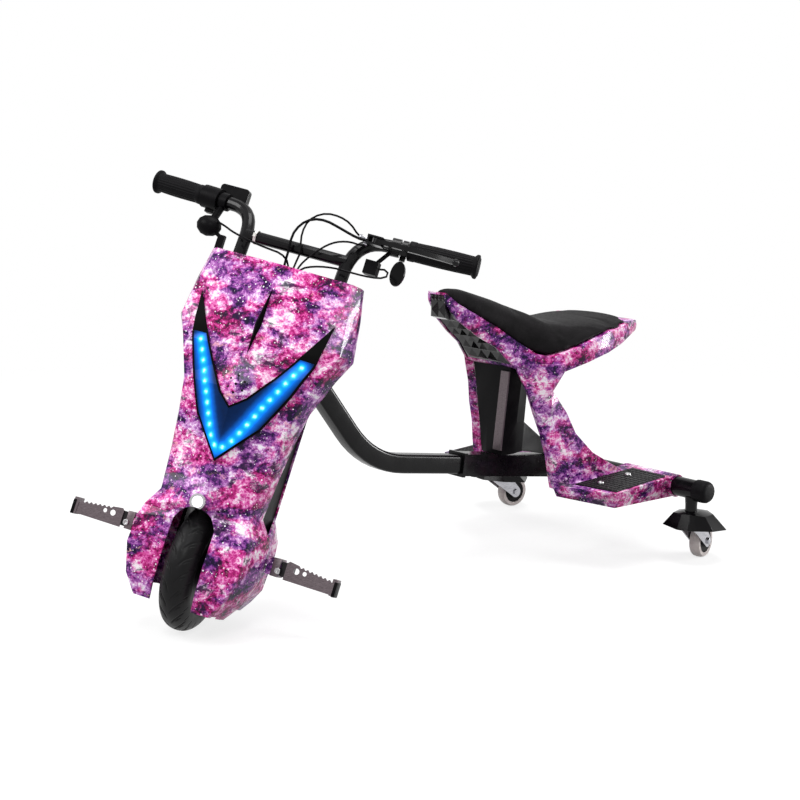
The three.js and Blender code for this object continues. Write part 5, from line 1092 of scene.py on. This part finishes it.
def peg_bolts(side, sign):
    """The bolt in a peg's arm and the one at its hinge."""
    arm_place = at(sign * ARM_BOLT_ACROSS, ARM_BOLT_FORWARD, ARM_BOLT_ALONG)
    face = front_spot("peg_bracket_" + side, 1)
    hinge_place = at(sign * HINGE_BOLT_ACROSS, face + HINGE_BOLT_LIFT, HINGE_BOLT_ALONG)
    return [
        bolt(
            "peg_arm_bolt_" + side, arm_place, axis_forward, ARM_BOLT_RADIUS, ARM_BOLT_HEIGHT,
            "zinc", "steered_front"),
        bolt(
            "peg_hinge_bolt_" + side, hinge_place, axis_forward, HINGE_BOLT_RADIUS, HINGE_BOLT_HEIGHT,
            "zinc", "steered_front")]


bolts = []
for side, sign in SIDES:
    bolts += pad_screws(side, sign)
    bolts += peg_bolts(side, sign)
print("bolts", len(bolts))

# %% [markdown]
# Each peg arm ends in a pressed steel clip, and each step plate ends in a black rubber stop. Both are
# rounded boxes set over the solids, so their ends are measured on the solids.

# %% Peg clips and stops


def front_block(name, across, forward, along, radius, finish, body):
    """A rounded box between lows and highs given in the directions of the steered front."""
    shape = bmesh.new()
    bmesh.ops.create_cube(shape, size=1)
    spans = (across, forward, along)
    bmesh.ops.scale(shape, vec=Vector([high - low for low, high in spans]) * MM, verts=shape.verts)
    bmesh.ops.bevel(
        shape, geom=shape.edges[:], offset=radius * MM, affect="EDGES", segments=2, profile=0.5,
        material=-1)
    turn = Matrix((axis_out, axis_forward, axis_up)).transposed().to_4x4()
    middle = at(*[(low + high) / 2 for low, high in spans])
    bmesh.ops.transform(shape, matrix=Matrix.Translation(middle) @ turn, verts=shape.verts)
    bmesh.ops.recalc_face_normals(shape, faces=shape.faces)
    return show(name, shape, finish, body)


def span_of(node, which, grow=0.0):
    """The lowest and highest of a node in one direction of the steered front, grown a little."""
    return front_spot(node, which, False) - grow, front_spot(node, which) + grow


CLIP_START = 123
CLIP_SHORT = 0.1
CLIP_SHEET = 0.8
CLIP_ROUNDING = 0.7
STOP_LENGTH = 4.5
STOP_OVER_TIP = 0.8
STOP_OVER_FACE = 1.2
STOP_BELOW = 1
STOP_DROP = 4
STOP_ROUNDING = 0.8


def peg_clip(side, sign):
    """The steel clip round the outer end of a peg's bracket."""
    bracket = "peg_bracket_" + side
    end = max(abs(v) for v in span_of(bracket, 0)) - CLIP_SHORT
    reach = sorted((sign * CLIP_START, sign * end))
    spots = [front_place(v.co) for v in nodes[bracket].data.vertices]
    forwards = [spot[1] for spot in spots if abs(spot[0]) > CLIP_START]
    alongs = [spot[2] for spot in spots if abs(spot[0]) > CLIP_START]
    return front_block(
        "peg_clip_" + side, reach, (min(forwards) - CLIP_SHEET, max(forwards) + CLIP_SHEET),
        (min(alongs) - CLIP_SHEET, max(alongs) + CLIP_SHEET), CLIP_ROUNDING, "steel", "steered_front")


def peg_stop(side, sign):
    """The rubber stop over the tip of a step plate."""
    blade = "peg_blade_" + side
    tip = max(abs(v) for v in span_of(blade, 0))
    reach = sorted((sign * (tip - STOP_LENGTH), sign * (tip + STOP_OVER_TIP)))
    spots = [front_place(v.co) for v in nodes[blade].data.vertices]
    alongs = [spot[2] for spot in spots if abs(spot[0]) > tip - STOP_LENGTH * 2]
    return front_block(
        "peg_stop_" + side, reach, span_of(blade, 1, STOP_OVER_FACE),
        (min(alongs) - STOP_BELOW, max(alongs) - STOP_DROP), STOP_ROUNDING, "moulded", "peg_" + side)


trimmings = []
for side, sign in SIDES:
    trimmings.append(peg_clip(side, sign))
    trimmings.append(peg_stop(side, sign))
print("peg trimmings", [piece.name for piece in trimmings])

# %% [markdown]
# Bright adjusters carry the two cables into the brake perch. Each is a turned barrel with fine flutes
# for the fingers.

# %% Cable adjusters
ADJUSTER_FLUTES = 12
ADJUSTER_STEPS = 48
ADJUSTER_ROUNDING = 0.15
FLUTE_PINCH = 0.07
# Where each barrel starts and ends on the steered front, and its radius
ADJUSTERS = {
    "cable_adjuster_brake": ((99.5, 30, 693.5), (113.5, 30, 693.5), 5 * MM),
    "cable_adjuster_switch": ((106.5, 24.5, 686.6), (113.0, 23.5, 685.6), 2.9 * MM),
}


def adjuster(name, start_place, end_place, radius):
    """A fluted barrel between two places on the steered front."""
    a, b = at(*start_place), at(*end_place)
    line = (b - a).normalized()
    shape = bmesh.new()
    bmesh.ops.create_cone(
        shape, cap_ends=True, segments=ADJUSTER_STEPS, radius1=radius, radius2=radius,
        depth=(b - a).length)
    bmesh.ops.bevel(
        shape, geom=[edge for edge in shape.edges if edge.calc_face_angle(0) > 1],
        offset=radius * ADJUSTER_ROUNDING, affect="EDGES", segments=2, profile=0.5, material=-1)
    for v in shape.verts:
        turn = math.atan2(v.co.y, v.co.x)
        pinch = 1 - FLUTE_PINCH * (0.5 + 0.5 * math.cos(turn * ADJUSTER_FLUTES))
        v.co.x *= pinch
        v.co.y *= pinch
    turn = line.to_track_quat("Z", "Y").to_matrix().to_4x4()
    bmesh.ops.transform(shape, matrix=Matrix.Translation((a + b) / 2) @ turn, verts=shape.verts)
    return show(name, shape, "chrome", "steered_front")


for name, (start_place, end_place, radius) in ADJUSTERS.items():
    adjuster(name, start_place, end_place, radius)
print("adjusters", len(ADJUSTERS))

# %% [markdown]
# Behind the shell sits a small buzzer, under a ring of holes that show as dark dots. At this size thin dark
# discs
# laid on the shell look the same as holes: their black is painted shade of the holes, and they leave the
# shell whole.

# %% Buzzer holes
HOLE_PITCH = 14
HOLES_IN_RING = 6
HOLE_RADIUS = 2.0 * MM
DISC_THICK = 0.5 * MM
DISC_STEPS = 16
BUZZER_ALONG = 405
IN_FRONT_OF_ALL = 400


def buzzer_dots():
    """Seven dark discs of painted hole shade: one in the middle and six round it, laid on the shell."""
    shell = BVHTree.FromBMesh(copy_of("fairing_front"))
    turns = [math.tau * step / HOLES_IN_RING for step in range(HOLES_IN_RING)]
    places = [(0, BUZZER_ALONG)]
    places += [(HOLE_PITCH * math.sin(turn), BUZZER_ALONG + HOLE_PITCH * math.cos(turn)) for turn in turns]
    shape = bmesh.new()
    for across, along in places:
        spot, normal, _, _ = shell.ray_cast(at(across, IN_FRONT_OF_ALL, along), -axis_forward)
        turn = normal.to_track_quat("Z", "Y").to_matrix().to_4x4()
        seat = Matrix.Translation(spot) @ turn
        bmesh.ops.create_cone(
            shape, cap_ends=True, segments=DISC_STEPS, radius1=HOLE_RADIUS, radius2=HOLE_RADIUS,
            depth=DISC_THICK, matrix=seat)
    # The discs are painted shade of the buzzer holes, in the black trim finish
    return show("buzzer_hole_shade", shape, "trim", "steered_front", smooth=False)


dots = buzzer_dots()
print("faces of the buzzer dots", len(dots.data.polygons))

# %% [markdown]
# The studio is a pale floor that fades into a white sky. White is only a strength of one, and only
# for rays that come from the camera, a mirror or glass. The light on the scooter comes from a soft sky
# and four soft boxes. A narrow strip of light low on one side lights nothing: it only shows in
# reflections, where it gives the slanted side faces of the front shell their white lines.

# %% Studio
FLOOR_HALF = 9.0
FLOOR_FADE_START = 1.3
FLOOR_FADE_END = 2.6
FLOOR_LIFT = 0.78
PAPER_TOOTH_SIZE = 4
SKY_LIGHT = 0.42


def seen_or_mirrored(owner):
    """1 for rays from the camera, a mirror or glass, and 0 for rays that light something."""
    rays = add(owner, "ShaderNodeLightPath")
    seen = add(owner, "ShaderNodeMath", {
        0: rays.outputs["Is Camera Ray"], 1: rays.outputs["Is Glossy Ray"]}, operation="MAXIMUM")
    also = add(owner, "ShaderNodeMath", {
        0: seen.outputs["Value"], 1: rays.outputs["Is Transmission Ray"]}, operation="MAXIMUM")
    return also.outputs["Value"]


def floor_finish():
    """Matt pale paper that fades into the white backdrop away from the scooter."""
    material, place = start("matt_white_paper_floor")
    tooth = add(material, "ShaderNodeTexNoise", {
        "Vector": place, "Scale": per(PAPER_TOOTH_SIZE), "Detail": 2.0})
    shade = add(material, "ShaderNodeValToRGB", {"Fac": tooth.outputs["Fac"]}, stops=[
        (0.3, "#939393"), (0.7, "#979797")])
    lift = add(material, "ShaderNodeMath", {
        0: seen_or_mirrored(material), 1: FLOOR_LIFT}, operation="MULTIPLY")
    paper = add(material, "ShaderNodeBsdfPrincipled", {
        "Base Color": shade.outputs["Color"], "Roughness": 0.9, "Specular IOR Level": 0.0,
        "Emission Color": linear("#ffffff"), "Emission Strength": lift.outputs["Value"]})
    away = add(material, "ShaderNodeVectorMath", {0: place}, operation="LENGTH")
    fade = add(material, "ShaderNodeMapRange", {
        "Value": away.outputs["Value"], "From Min": FLOOR_FADE_START, "From Max": FLOOR_FADE_END},
        interpolation_type="SMOOTHSTEP")
    beyond = add(material, "ShaderNodeBsdfTransparent")
    mixed = add(material, "ShaderNodeMixShader", {
        0: fade.outputs["Result"], 1: paper.outputs["BSDF"], 2: beyond.outputs["BSDF"]})
    add(material, "ShaderNodeOutputMaterial", {"Surface": mixed.outputs["Shader"]})
    return material


def make_floor():
    """A plain sheet on the ground."""
    mesh = bpy.data.meshes.new("studio_floor")
    sheet = bmesh.new()
    bmesh.ops.create_grid(sheet, x_segments=1, y_segments=1, size=FLOOR_HALF)
    sheet.to_mesh(mesh)
    sheet.free()
    floor = bpy.data.objects.new("studio_floor", mesh)
    bpy.context.scene.collection.objects.link(floor)
    mesh.materials.append(floor_finish())
    return floor


def make_sky():
    """White where it is seen or mirrored, softer where it lights the scooter."""
    world = bpy.data.worlds.new("studio_sky")
    world.use_nodes = True
    world.node_tree.nodes.clear()
    level = add(world, "ShaderNodeMapRange", {
        "Value": seen_or_mirrored(world), "To Min": SKY_LIGHT, "To Max": 1.0})
    light = add(world, "ShaderNodeBackground", {
        "Color": linear("#ffffff"), "Strength": level.outputs["Result"]})
    add(world, "ShaderNodeOutputWorld", {"Surface": light.outputs["Background"]})
    bpy.context.scene.world = world


def soft_box(name, place, aim, width, height, power, only_shine=False):
    """A large rectangular lamp turned towards a point, or a strip that only shows in reflections."""
    data = bpy.data.lights.new(name, "AREA")
    data.shape = "RECTANGLE"
    data.size = width
    data.size_y = height
    data.energy = power
    lamp = bpy.data.objects.new(name, data)
    bpy.context.scene.collection.objects.link(lamp)
    lamp.location = place
    lamp.rotation_mode = "QUATERNION"
    lamp.rotation_quaternion = (Vector(aim) - Vector(place)).to_track_quat("-Z", "Y")
    lamp.visible_diffuse = not only_shine
    return lamp


# Each lamp's name, the place it stands, the place it looks at, its width, height and power
SOFT_BOXES = (
    ("key_soft_box", (-0.7, -2.4, 2.5), (0, 0, 0.5), 1.2, 1.2, 48),
    ("front_soft_box", (2.0, -1.9, 2.4), (0, 0, 0.45), 0.8, 0.8, 26),
    ("top_soft_box", (0.3, 0.2, 3.0), (0, 0, 0.3), 1.4, 1.4, 50),
    ("side_soft_box", (1.7, 2.3, 0.9), (0.1, 0.1, 0.45), 0.6, 1.4, 22))
make_floor()
make_sky()
for name, place, aim, width, height, power in SOFT_BOXES:
    soft_box(name, place, aim, width, height, power)
soft_box("bevel_strip_box", (1.15, 1.75, 0.37), (0.13, -0.35, 0.5), 0.26, 0.7, 27, only_shine=True)
bpy.context.scene.view_settings.view_transform = "Standard"
print("soft boxes", len(SOFT_BOXES), "and one strip")
